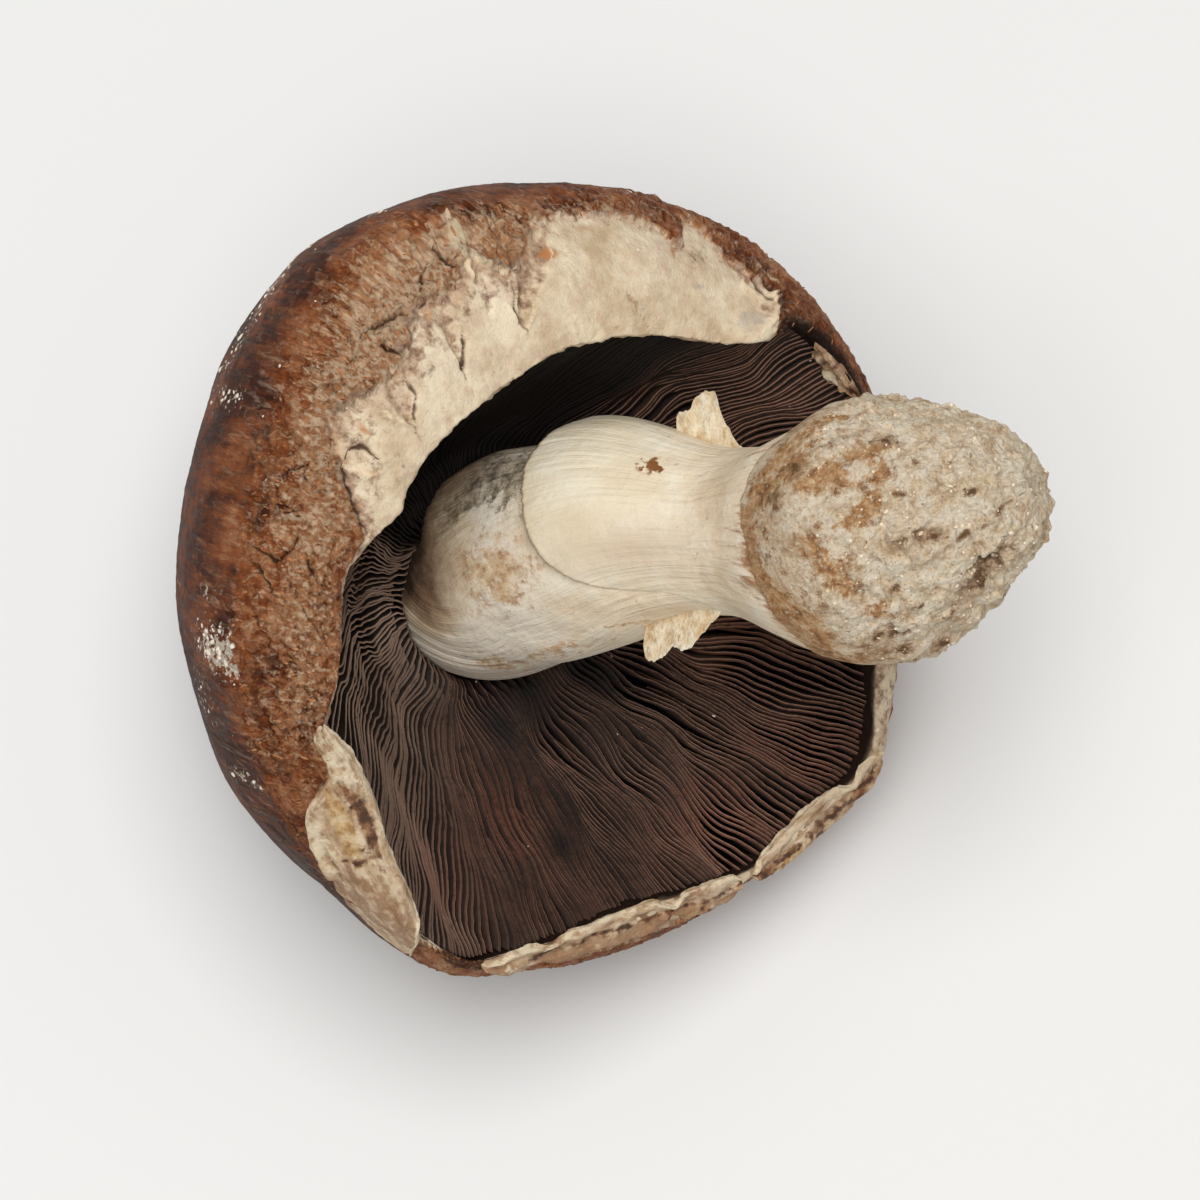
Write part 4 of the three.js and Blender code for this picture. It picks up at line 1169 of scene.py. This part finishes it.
crumb_finish, tree, here = new_finish("soil_crumbs", shine=0.05)
crumb_mottle = mottle(tree, here, 900, detail=3)
colour = tones(
    tree, crumb_mottle, (0.36, (0.5, 0.33, 0.19)), (0.48, (0.78, 0.62, 0.43)), (0.6, (0.94, 0.84, 0.67)))
dress(tree, colour, 0.9, [(crumb_mottle, 0.0003)])
scatter("soil_crumbs", crust, "coarse", crumb_finish, {
    "Per square metre": 0.5e6, "Smallest": 0.00008, "Largest": 0.00032, "Seed": 21}, form=(1, 0.9, 0.55))


# ---- veil scraps ----
# Four torn remains of the veil that stay on the rim of the cap: a long folded one with a rusty
# hollow at the left, two crumpled strips at the front and a small one at the far side. They are dry
# cream skin, grown to the cap along one edge and curled up along the other.


def off_cap(azimuth, stage, height):
    """A place at a height above the cap's skin."""
    here = on_cap(azimuth, stage)
    ahead = on_cap(azimuth, stage + 0.01) - on_cap(azimuth, stage - 0.01)
    aside = on_cap(azimuth + 0.3, stage) - on_cap(azimuth - 0.3, stage)
    return here + unit(np.cross(aside, ahead)) * height[..., None]


def make_scrap(name, node, start, end, low_line, high_line, relief, paint, seed):
    """A scrap from azimuth start to end, between two lines of stages; relief and paint shape it."""
    share, turn = np.meshgrid(np.linspace(0, 1, 110), np.arange(0, 360, 5), indexing="ij")
    azimuth = mix(start, end, share)
    across = 0.5 - 0.5 * np.cos(np.radians(turn))
    spots = placed(degree_mm * azimuth, seed, 0)
    torn_low = through(low_line, azimuth) + 0.012 * layered(spots / 1.2, seed)
    torn_high = through(high_line, azimuth) + 0.014 * layered(spots / 1.2, seed + 3)
    stage = mix(torn_low, np.maximum(torn_high, torn_low + 0.02), across)
    spots = placed(degree_mm * azimuth, stage_mm * stage, seed)
    front = relief(azimuth, stage, across) + 0.22 * layered(spots / 2.0, seed + 6)
    height = np.where(turn <= 180, front, -0.5) * np.minimum(1, np.abs(np.sin(np.radians(turn))) * 4)
    height = height + 0.35 * ease(0.9, 1.0, across) + 0.05
    points = off_cap(azimuth, stage, height)
    marks = paint(azimuth, stage, across) | {"growth": spots / 1000}
    piece = make_body(name, points, marks)
    keep(piece, scrap_finish, "veil_skin", node)


scrap_finish, tree, here = new_finish("veil_scrap_finish", flesh_glow=0.12, shine=0.35)
growth = read(tree, "growth")
scrap_tone = mottle(tree, growth, 260, detail=7, roughness=0.65)
scrap_fine = mottle(tree, here, 700, detail=5)
colour = tones(
    tree, scrap_tone, (0.36, (0.3, 0.17, 0.09)), (0.47, (0.54, 0.37, 0.22)), (0.6, (0.76, 0.6, 0.42)))
rusty = tones(
    tree, scrap_fine, (0.38, (0.74, 0.55, 0.32)), (0.5, (0.56, 0.35, 0.14)), (0.62, (0.36, 0.19, 0.07)))
stained = tones(
    tree, scrap_fine, (0.4, (0.36, 0.18, 0.08)), (0.5, (0.17, 0.065, 0.028)), (0.6, (0.06, 0.022, 0.01)))
colour = marked(
    tree, colour, ("tan", scrap_fine, 0.6, 0.1, 1.0, 0.8, (0.34, 0.18, 0.09)),
    ("ochre", scrap_fine, 0.4, 0.2, 1.0, 0.92, rusty),
    ("light", scrap_fine, 0.5, 0.3, 1.0, 0.85, (0.84, 0.71, 0.51)),
    ("stain_and_shade", scrap_fine, 0.5, 0.2, 0.9, 0.94, stained))
dress(tree, colour, 0.62, [(scrap_tone, 0.0008), (scrap_fine, 0.0004)])


def fold_relief(azimuth, stage, across):
    here = skin_place(azimuth, stage)
    height = 0.5 + trail(here, [(246, 1.6), (250, 1.42), (256, 1.32), (262, 1.3)], 1.9)
    height += 0.7 * trail(here, [(236, 1.92), (246, 1.97), (258, 2.02), (268, 2), (275, 1.8)], 0.9)
    height -= 0.8 * trail(here, [(259.6, 1.46), (260.6, 1.7), (261, 1.95)], 0.5)
    return np.maximum(height + patches(here, [(-1, 254.5, 1.68, 5, 3.6), (0.6, 271, 1.6, 6, 8)]), 0.3)


def fold_paint(azimuth, stage, across):
    here = skin_place(azimuth, stage)
    lines = [
        # Stained lines; the one down the groove is painted shade.
        ([(246, 1.8), (251, 1.86), (256, 1.89), (261, 1.93)], 2.2, 1.4),
        ([(259.4, 1.46), (260.4, 1.7), (261, 1.95)], 0.6, 0.9), ([(256, 1.6), (259.5, 1.8)], 0.35, 0.6),
        ([(262.5, 1.8), (266, 1.98)], 0.7, 0.6), ([(246.5, 1.6), (249, 1.46)], 0.35, 0.7),
    ]
    stain_and_shade = np.maximum.reduce([strength * trail(here, spots, width) for spots, width, strength in lines])
    # Light patches, and a painted highlight along the curled free edge.
    light = patches(here, [(0.95, 252, 1.4, 9, 3.2), (0.9, 240, 1.9, 5.5, 5)]) + ease(0.86, 0.97, across)
    tan = patches(here, [(0.9, 272, 1.5, 8, 11)]) * (1 - ease(0.8, 0.95, across))
    ochre = patches(here, [(1.7, 254, 1.66, 5.2, 3)])
    return {"ochre": ochre, "stain_and_shade": stain_and_shade, "light": light * (1 - np.clip(ochre, 0, 1)), "tan": tan}


make_scrap(
    "veil_scrap_left_fold", "veil_scrap_left", 233.5, 285,
    [(233.5, 1.92), (236, 1.78), (240.5, 1.76), (244, 1.72), (246, 1.58), (248, 1.44), (253.5, 1.33),
     (260.5, 1.27), (266, 1.15), (272, 1.04), (280, 0.99), (285, 1.12)],
    [(233.5, 1.98), (240, 2.2), (252, 2.3), (262, 2.3), (271, 2.28), (275, 2.1), (279, 1.7),
     (282, 1.38), (285, 1.2)], fold_relief, fold_paint, 201)


def strip_relief(azimuth, stage, across):
    layers = 0.7 * near(0.3, 0.16, across) + 0.9 * near(0.8, 0.14, across)
    crumple = grain(placed(degree_mm * azimuth / 3.0, stage_mm * stage / 3.0, 0.5), 231)
    return 0.4 + layers + 0.5 * crumple


def strip_paint(azimuth, stage, across):
    here = skin_place(azimuth, stage)
    # The seam between the two layers and the dark holes are painted shade.
    seam = near(0.55, 0.05, across + 0.004 * (azimuth - 315)) * ease(300, 304, azimuth)
    holes = patches(here, [
        (1, 337, 1.8, 1.1, 2.2), (0.8, 329.5, 1.85, 0.8, 2.5), (0.8, 301, 1.85, 0.7, 2.5)])
    # Light patches, and a painted highlight along the curled free edge.
    light = patches(here, [(0.7, 297, 1.75, 3, 4), (0.7, 341, 1.9, 2, 2)]) + 0.9 * near(0.86, 0.12, across)
    ochre = patches(here, [(0.8, 299, 1.7, 1.2, 2.4), (0.8, 334.5, 1.8, 1.5, 3)])
    tan = 1.1 * ease(0.7, 0.35, across)
    return {"stain_and_shade": 0.76 * seam + holes, "light": light, "tan": tan, "ochre": ochre}


def curl_paint(azimuth, stage, across):
    here = skin_place(azimuth, stage)
    # Painted shade between the two layers, and dark stains.
    stain_and_shade = 0.7 * near(0.45, 0.07, across) + patches(here, [
        (0.9, 350, 1.85, 1.6, 3.2), (0.9, 361, 1.8, 1.4, 3), (0.9, 369, 1.85, 0.8, 3.5)])
    ochre = patches(here, [(0.9, 355, 1.75, 6, 6), (0.6, 372, 1.8, 2, 3)])
    # Light patches, and a painted highlight along the curled free edge.
    light = 0.95 * near(0.9, 0.1, across) + patches(here, [(0.7, 366, 2, 1.5, 2)])
    return {"stain_and_shade": stain_and_shade, "tan": 0.6 * ease(0.7, 0.4, across), "light": light, "ochre": ochre}


def flake_paint(azimuth, stage, across):
    here = skin_place(azimuth, stage)
    light = patches(here, [(1.2, 80, 2.45, 1.6, 5), (0.7, 85, 2.3, 0.8, 3)])
    stain_and_shade = patches(here, [(0.8, 83, 2.2, 1.2, 4), (0.7, 76, 2.05, 1.5, 3)])
    return {"stain_and_shade": stain_and_shade, "tan": 0.9 + 0 * azimuth, "light": light, "ochre": 0 * azimuth}


make_scrap(
    "veil_scrap_lower_strip", "veil_scrap_lower", 291, 345,
    [(291, 1.85), (295, 1.66), (300, 1.6), (303, 1.74), (306, 1.64), (315, 1.62), (326, 1.68),
     (330, 1.84), (333, 1.72), (338, 1.64), (343, 1.74), (345, 1.9)],
    [(291, 1.95), (295, 2.05), (300, 2.1), (303, 2.02), (306, 2.1), (315, 2.16), (326, 2.1),
     (330, 1.98), (333, 2.12), (338, 2.18), (343, 2.14), (345, 1.98)],
    strip_relief, strip_paint, 221)
make_scrap(
    "veil_scrap_right_curl", "veil_scrap_right", 347, 376,
    [(347, 1.85), (350, 1.62), (360, 1.5), (367, 1.6), (369, 1.78), (372, 1.66), (376, 1.85)],
    [(347, 1.98), (350, 2.2), (358, 2.3), (366, 2.24), (369, 2.04), (372, 2.14), (376, 1.96)],
    strip_relief, curl_paint, 241)
make_scrap(
    "veil_scrap_upper_piece", "veil_scrap_upper", 74, 88,
    [(74, 2.0), (78, 1.98), (84, 2.0), (88, 2.1)],
    [(74, 2.05), (76.5, 2.15), (78, 2.48), (80.5, 2.6), (83, 2.42), (85, 2.5), (86.5, 2.2), (88, 2.15)],
    strip_relief, flake_paint, 261)


# ---- gills ----
# Several hundred thin dark blades that hang from the flesh of the cap, some from the stem to the
# lip and others only part of the way. They grew with the cap, and crowd and crinkle by the stem.

gill_count = 372
gill_steps = 60
gill_hole, gill_hole_shift, gill_hole_azimuth = 12.6, 2.6, 15
gill_depth_stem, gill_depth_lip = 10.2, 7.5
gill_lip_inset = 0.1
gill_starts = [0, 0.3, 0.06, 0.5]
gill_thickness = 0.32
# Shaded and reddish spots, as azimuth, share of the way from stem to lip, and reach in mm.
gill_shades = [(328, 0.33, 1.5), (316.5, 0.71, 1.6), (319, 0.22, 3), (335, 0.1, 6), (0, 0.2, 5)]
gill_reds = [(308, 0.58, 5), (11, 0.88, 5), (352, 0.85, 5), (30, 0.6, 7), (285, 0.75, 6)]
mm_per_degree, mm_to_lip = 0.55, 27


def gill_spots(spots):
    """The strongest of several round spots among the gills."""
    shares = []
    for azimuth, share, reach in spots:
        aside = turn_from(azimuth, gill_azimuth) * mm_per_degree
        shares.append(near(0, reach, np.hypot(aside, (gill_share - share) * mm_to_lip)))
    return np.maximum.reduce(shares)


gill_number, gill_share = np.meshgrid(np.arange(gill_count), np.linspace(0, 1, gill_steps), indexing="ij")
gill_chance = np.random.default_rng(5).uniform(-1, 1, (gill_count, 3))
gill_azimuth = (gill_number + 0.14 * gill_chance[:, 1:2]) * 360 / gill_count
at_left = between(190, 200, 244, 262, gill_azimuth)
gill_from = np.array(gill_starts)[gill_number % 4] * (1 + 0.25 * gill_chance[:, :1])
gill_from = mix(gill_from, 0.86, np.where(gill_number % 2 == 1, at_left, 0))
gill_share = mix(gill_from, 1, gill_share)
gill_hole_radius = gill_hole + gill_hole_shift * np.cos(np.radians(gill_azimuth - gill_hole_azimuth))
gill_radius = mix(gill_hole_radius, lip(gill_azimuth) - gill_lip_inset, gill_share)
gill_place = polar(gill_azimuth, gill_radius, 0)
by_stem = np.abs(turn_from(218, gill_azimuth))
crinkle = (0.15 + 0.85 * ease(85, 30, by_stem)) * ease(0.95, 0.35, gill_share)
calm = between(0, 0.08, 0.5, 0.97, gill_share)
swept = np.mod(gill_azimuth - 97, 360)
wave_long = grain(placed(swept / 16, gill_radius / 7.0, 0), 101)
wave_short = grain(placed(swept / 9, gill_radius / 1.5, 0), 102)
wave_small = grain(placed(swept / 4, gill_radius / 1.2, 0), 103)
sway = 0.25 * wave_long + crinkle * (0.36 * wave_short + 0.1 * wave_small)
sway += 0.06 * grain(gill_place / 2.4, 104)
gill_azimuth = gill_azimuth + np.degrees(sway * calm / gill_radius)
gill_foot = polar(gill_azimuth, gill_radius, bed(gill_azimuth, gill_radius) - 0.3)
gill_depth = mix(gill_depth_stem, gill_depth_lip, gill_share**1.5) + 0.3 * gill_chance[:, 2:]
gill_depth += 0.5 * grain(gill_place / 6.0, 105)
start_slope = np.where(gill_from > 0.1, 0.12, 0.03)
gill_depth *= 0.3 + 0.7 * np.sqrt(ease(gill_from - 0.02, gill_from + start_slope, gill_share))
gill_depth *= 0.93 + 0.07 * np.sqrt(ease(1.0, 0.97, gill_share))
gill_lean = 0.25 * grain(gill_place / 7.0, 106)
gill_rise = polar(gill_azimuth + 90, gill_lean * gill_depth, gill_depth)

# Painted shade on the blades deep under the far side of the lip, and at a few shaded spots.
gill_shade = 0.95 * between(92, 112, 190, 205, gill_azimuth)
gill_shade = np.maximum(gill_shade, 0.9 * gill_spots(gill_shades))
# Pinkish dust on the blades at the left and a little at the right, with painted light on their edges where
# the lip keeps the light off, and painted shade on their sides.
gill_dust_light_and_shade = between(190, 200, 236, 262, gill_azimuth) + 0.9 * between(222, 240, 268, 310, gill_azimuth)
gill_dust_light_and_shade += 0.12 * np.maximum(ease(332, 350, gill_azimuth), ease(60, 30, gill_azimuth))
gill_stout = mix(1.1, 0.75, between(236, 246, 284, 296, gill_azimuth))
gill_stout = mix(gill_stout, 0.6, at_left) * (1 - 0.3 * between(90, 110, 190, 205, gill_azimuth))
gill_marks = {
    "rise": gill_rise @ leaning.T / 1000, "shade": gill_shade, "dust_light_and_shade": gill_dust_light_and_shade,
    "tint": 0.5 + 0.5 * gill_chance[:, :1] + 0 * gill_share, "stout": gill_stout,
    "red": gill_spots(gill_reds),
}

gill_lines = bpy.data.meshes.new("gill_lines")
links = np.arange(gill_count * gill_steps).reshape(gill_count, gill_steps)
links = np.stack([links[:, :-1], links[:, 1:]], -1).reshape(-1, 2)
gill_lines.from_pydata(lay_down(gill_foot.reshape(-1, 3)), links.tolist(), [])
carry(gill_lines, gill_marks)
gills = bpy.data.objects.new("gill_blades", gill_lines)
bpy.context.scene.collection.objects.link(gills)

gill_dark = (0.008, 0.0035, 0.0025)
gill_brown = (0.05, 0.022, 0.013)
gill_black = (0.012, 0.005, 0.003)

gill_finish, tree, here = new_finish("gill_finish", shine=0.3)
gill_tone = mottle(tree, here, 110, detail=5, roughness=0.6)
gill_skin = mottle(tree, here, 900, detail=4, roughness=0.65)
share = read(tree, "depth_share")
blade_tone = times(tree, reckon(tree, "SUBTRACT", read(tree, "tint"), 0.5), 0.2)
blade_tone = plus(tree, gill_tone, blade_tone)
blade = tones(tree, blade_tone, (0.36, gill_black), (0.5, (0.024, 0.011, 0.007)), (0.64, gill_brown))
edge_tone = tones(
    tree, blade_tone, (0.36, gill_black), (0.5, (0.021, 0.009, 0.006)), (0.64, (0.045, 0.02, 0.012)))
edge_tone = washed(tree, edge_tone, ("red", 0.7, (0.13, 0.042, 0.024)))
edge_line = tint(tree, read(tree, "dust_light_and_shade"), (0.27, 0.14, 0.09), (0.56, 0.38, 0.28))
# A painted highlight along one side of each blade's edge.
edge_tone = toned(tree, edge_tone, (read(tree, "lit_side"), 0.55, 0.85, 0.9, edge_line))
# Where the dust mark is, the edges get pinkish dust and painted light, and the sides painted shade.
edge_tone = washed(tree, edge_tone, ("dust_light_and_shade", 0.35, edge_line))
blade = washed(tree, blade, ("dust_light_and_shade", 0.8, gill_dark))
# The blades darken to near black towards their roots: painted shade deep between them.
colour = toned(
    tree, blade, (share, 0.965, 0.998, 1.0, edge_tone), (share, 0.95, 0.75, 1.0, gill_dark),
    (gill_skin, 0.52, 0.66, 0.4, gill_dark))
# Painted shade on the blades in the hollow under the far side of the lip.
colour = tint(tree, read(tree, "shade"), colour, (0.005, 0.003, 0.002))
white_fleck = mottle(tree, here, 420, detail=2)
on_edge = sift(tree, share, 0.95, 0.99)
colour = toned(tree, colour, (white_fleck, 0.765, 0.78, 1.0, (0.7, 0.62, 0.5)), within=on_edge)
dress(tree, colour, 0.72, [(gill_skin, 0.0002)])

gill_sizes = {"Blade thickness": gill_thickness / 1000, "Edge crinkle": 0.00012, "Crinkle scale": 500.0}
tree, given = new_growth("gill_fringe", gill_sizes)


def keep_mark(geometry, points, mark):
    """Stores 1 under a name at some of the points."""
    return add(tree, "GeometryNodeStoreNamedAttribute", {
        "Geometry": geometry, "Selection": points, "Name": mark, "Value": 1.0,
    }, data_type="FLOAT", domain="POINT").outputs[0]


# Each line rises into one sheet, whose free edge is crinkled; the sheet then gets its thickness.
sheet = add(tree, "GeometryNodeExtrudeMesh", {
    "Mesh": given["Geometry"], "Offset": named(tree, "rise", "FLOAT_VECTOR"), "Offset Scale": 1.0,
}, mode="EDGES").outputs
shape = keep_mark(sheet["Mesh"], sheet["Top"], "depth_share")
facing = add(tree, "GeometryNodeInputNormal").outputs[0]
noise = add(tree, "ShaderNodeTexNoise", {"Scale": given["Crinkle scale"], "Detail": 2.0}).outputs[0]
wave = reckon(tree, "SUBTRACT", noise, 0.5)
crinkled = times(tree, named(tree, "depth_share"), given["Edge crinkle"])
wave = times(tree, times(tree, wave, crinkled), 4.0)
offset = add(tree, "ShaderNodeVectorMath", {0: facing, "Scale": wave}, operation="SCALE").outputs[0]
shape = add(tree, "GeometryNodeSetPosition", {"Geometry": shape, "Offset": offset}).outputs[0]
thickness = times(tree, named(tree, "stout"), given["Blade thickness"])
back = add(tree, "GeometryNodeFlipFaces", {"Mesh": shape}).outputs[0]
front = add(tree, "GeometryNodeExtrudeMesh", {
    "Mesh": shape, "Offset Scale": thickness, "Individual": False}, mode="FACES").outputs
front = keep_mark(front["Mesh"], front["Top"], "lit_side")
both_sides = add(tree, "GeometryNodeJoinGeometry")
tree.links.new(front, both_sides.inputs[0])
tree.links.new(back, both_sides.inputs[0])
shape = add(tree, "GeometryNodeMergeByDistance", {
    "Geometry": both_sides.outputs[0], "Distance": 1e-6}).outputs[0]
grow(gills, tree, shape, gill_finish, gill_sizes)
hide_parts("gills")
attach(gills, "root")


# ---- floor, light and camera ----
# A pale table top, lit softly from straight above and a little from the front, and the camera
# looking steeply down at the gills, as at a mushroom that lies on a table.

floor_half = 3.0
floor_mesh = bpy.data.meshes.new("table_top")
floor_corners = [(x * floor_half, y * floor_half, 0) for x, y in ((-1, -1), (1, -1), (1, 1), (-1, 1))]
floor_mesh.from_pydata(floor_corners, [], [(0, 1, 2, 3)])
floor = bpy.data.objects.new("table_top", floor_mesh)
bpy.context.scene.collection.objects.link(floor)
floor_finish = bpy.data.materials.new("pale_table")
floor_finish.use_nodes = True
floor_inputs = floor_finish.node_tree.nodes["Principled BSDF"].inputs
floor_inputs["Base Color"].default_value = (0.86, 0.86, 0.85, 1)
floor_inputs["Roughness"].default_value = 0.9
floor_mesh.materials.append(floor_finish)

world = bpy.data.worlds.new("soft_daylight")
world.use_nodes = True
sky_inputs = world.node_tree.nodes["Background"].inputs
sky_inputs["Color"].default_value = (1.0, 0.98, 0.95, 1)
sky_inputs["Strength"].default_value = 0.32
bpy.context.scene.world = world
bpy.context.scene.view_settings.view_transform = "Standard"

middle = (cad_low + cad_high) / 2


def soft_light(name, towards, distance, size, brightness):
    """A round soft lamp; brightness is what a white card facing it would show."""
    lamp = bpy.data.lights.new(name, "AREA")
    lamp.shape = "DISK"
    lamp.size = size
    lamp.energy = brightness * (math.pi * distance) ** 2
    light = bpy.data.objects.new(name, lamp)
    light.location = middle + Vector(towards).normalized() * distance
    light.rotation_euler = (middle - light.location).to_track_quat("-Z", "Y").to_euler()
    bpy.context.scene.collection.objects.link(light)


soft_light("key_light", (0.0, 0.04, 1.0), 1.1, 0.6, 0.52)
soft_light("front_light", (-0.12, -0.32, 0.94), 1.3, 0.8, 0.34)

camera_elevation = math.radians(75)
camera_distance = 0.6
camera_lens, camera_sensor = 142, 36
eye = Vector((0, -math.cos(camera_elevation), math.sin(camera_elevation)))
camera_data = bpy.data.cameras.new("camera")
camera_data.lens = camera_lens
camera_data.sensor_width = camera_sensor
camera = bpy.data.objects.new("camera", camera_data)
target = Vector((middle.x, middle.y, float(stem_foot[2]) / 1000))
camera.location = target + eye * camera_distance
camera.rotation_euler = (target - camera.location).to_track_quat("-Z", "Y").to_euler()
bpy.context.scene.collection.objects.link(camera)
bpy.context.scene.camera = camera
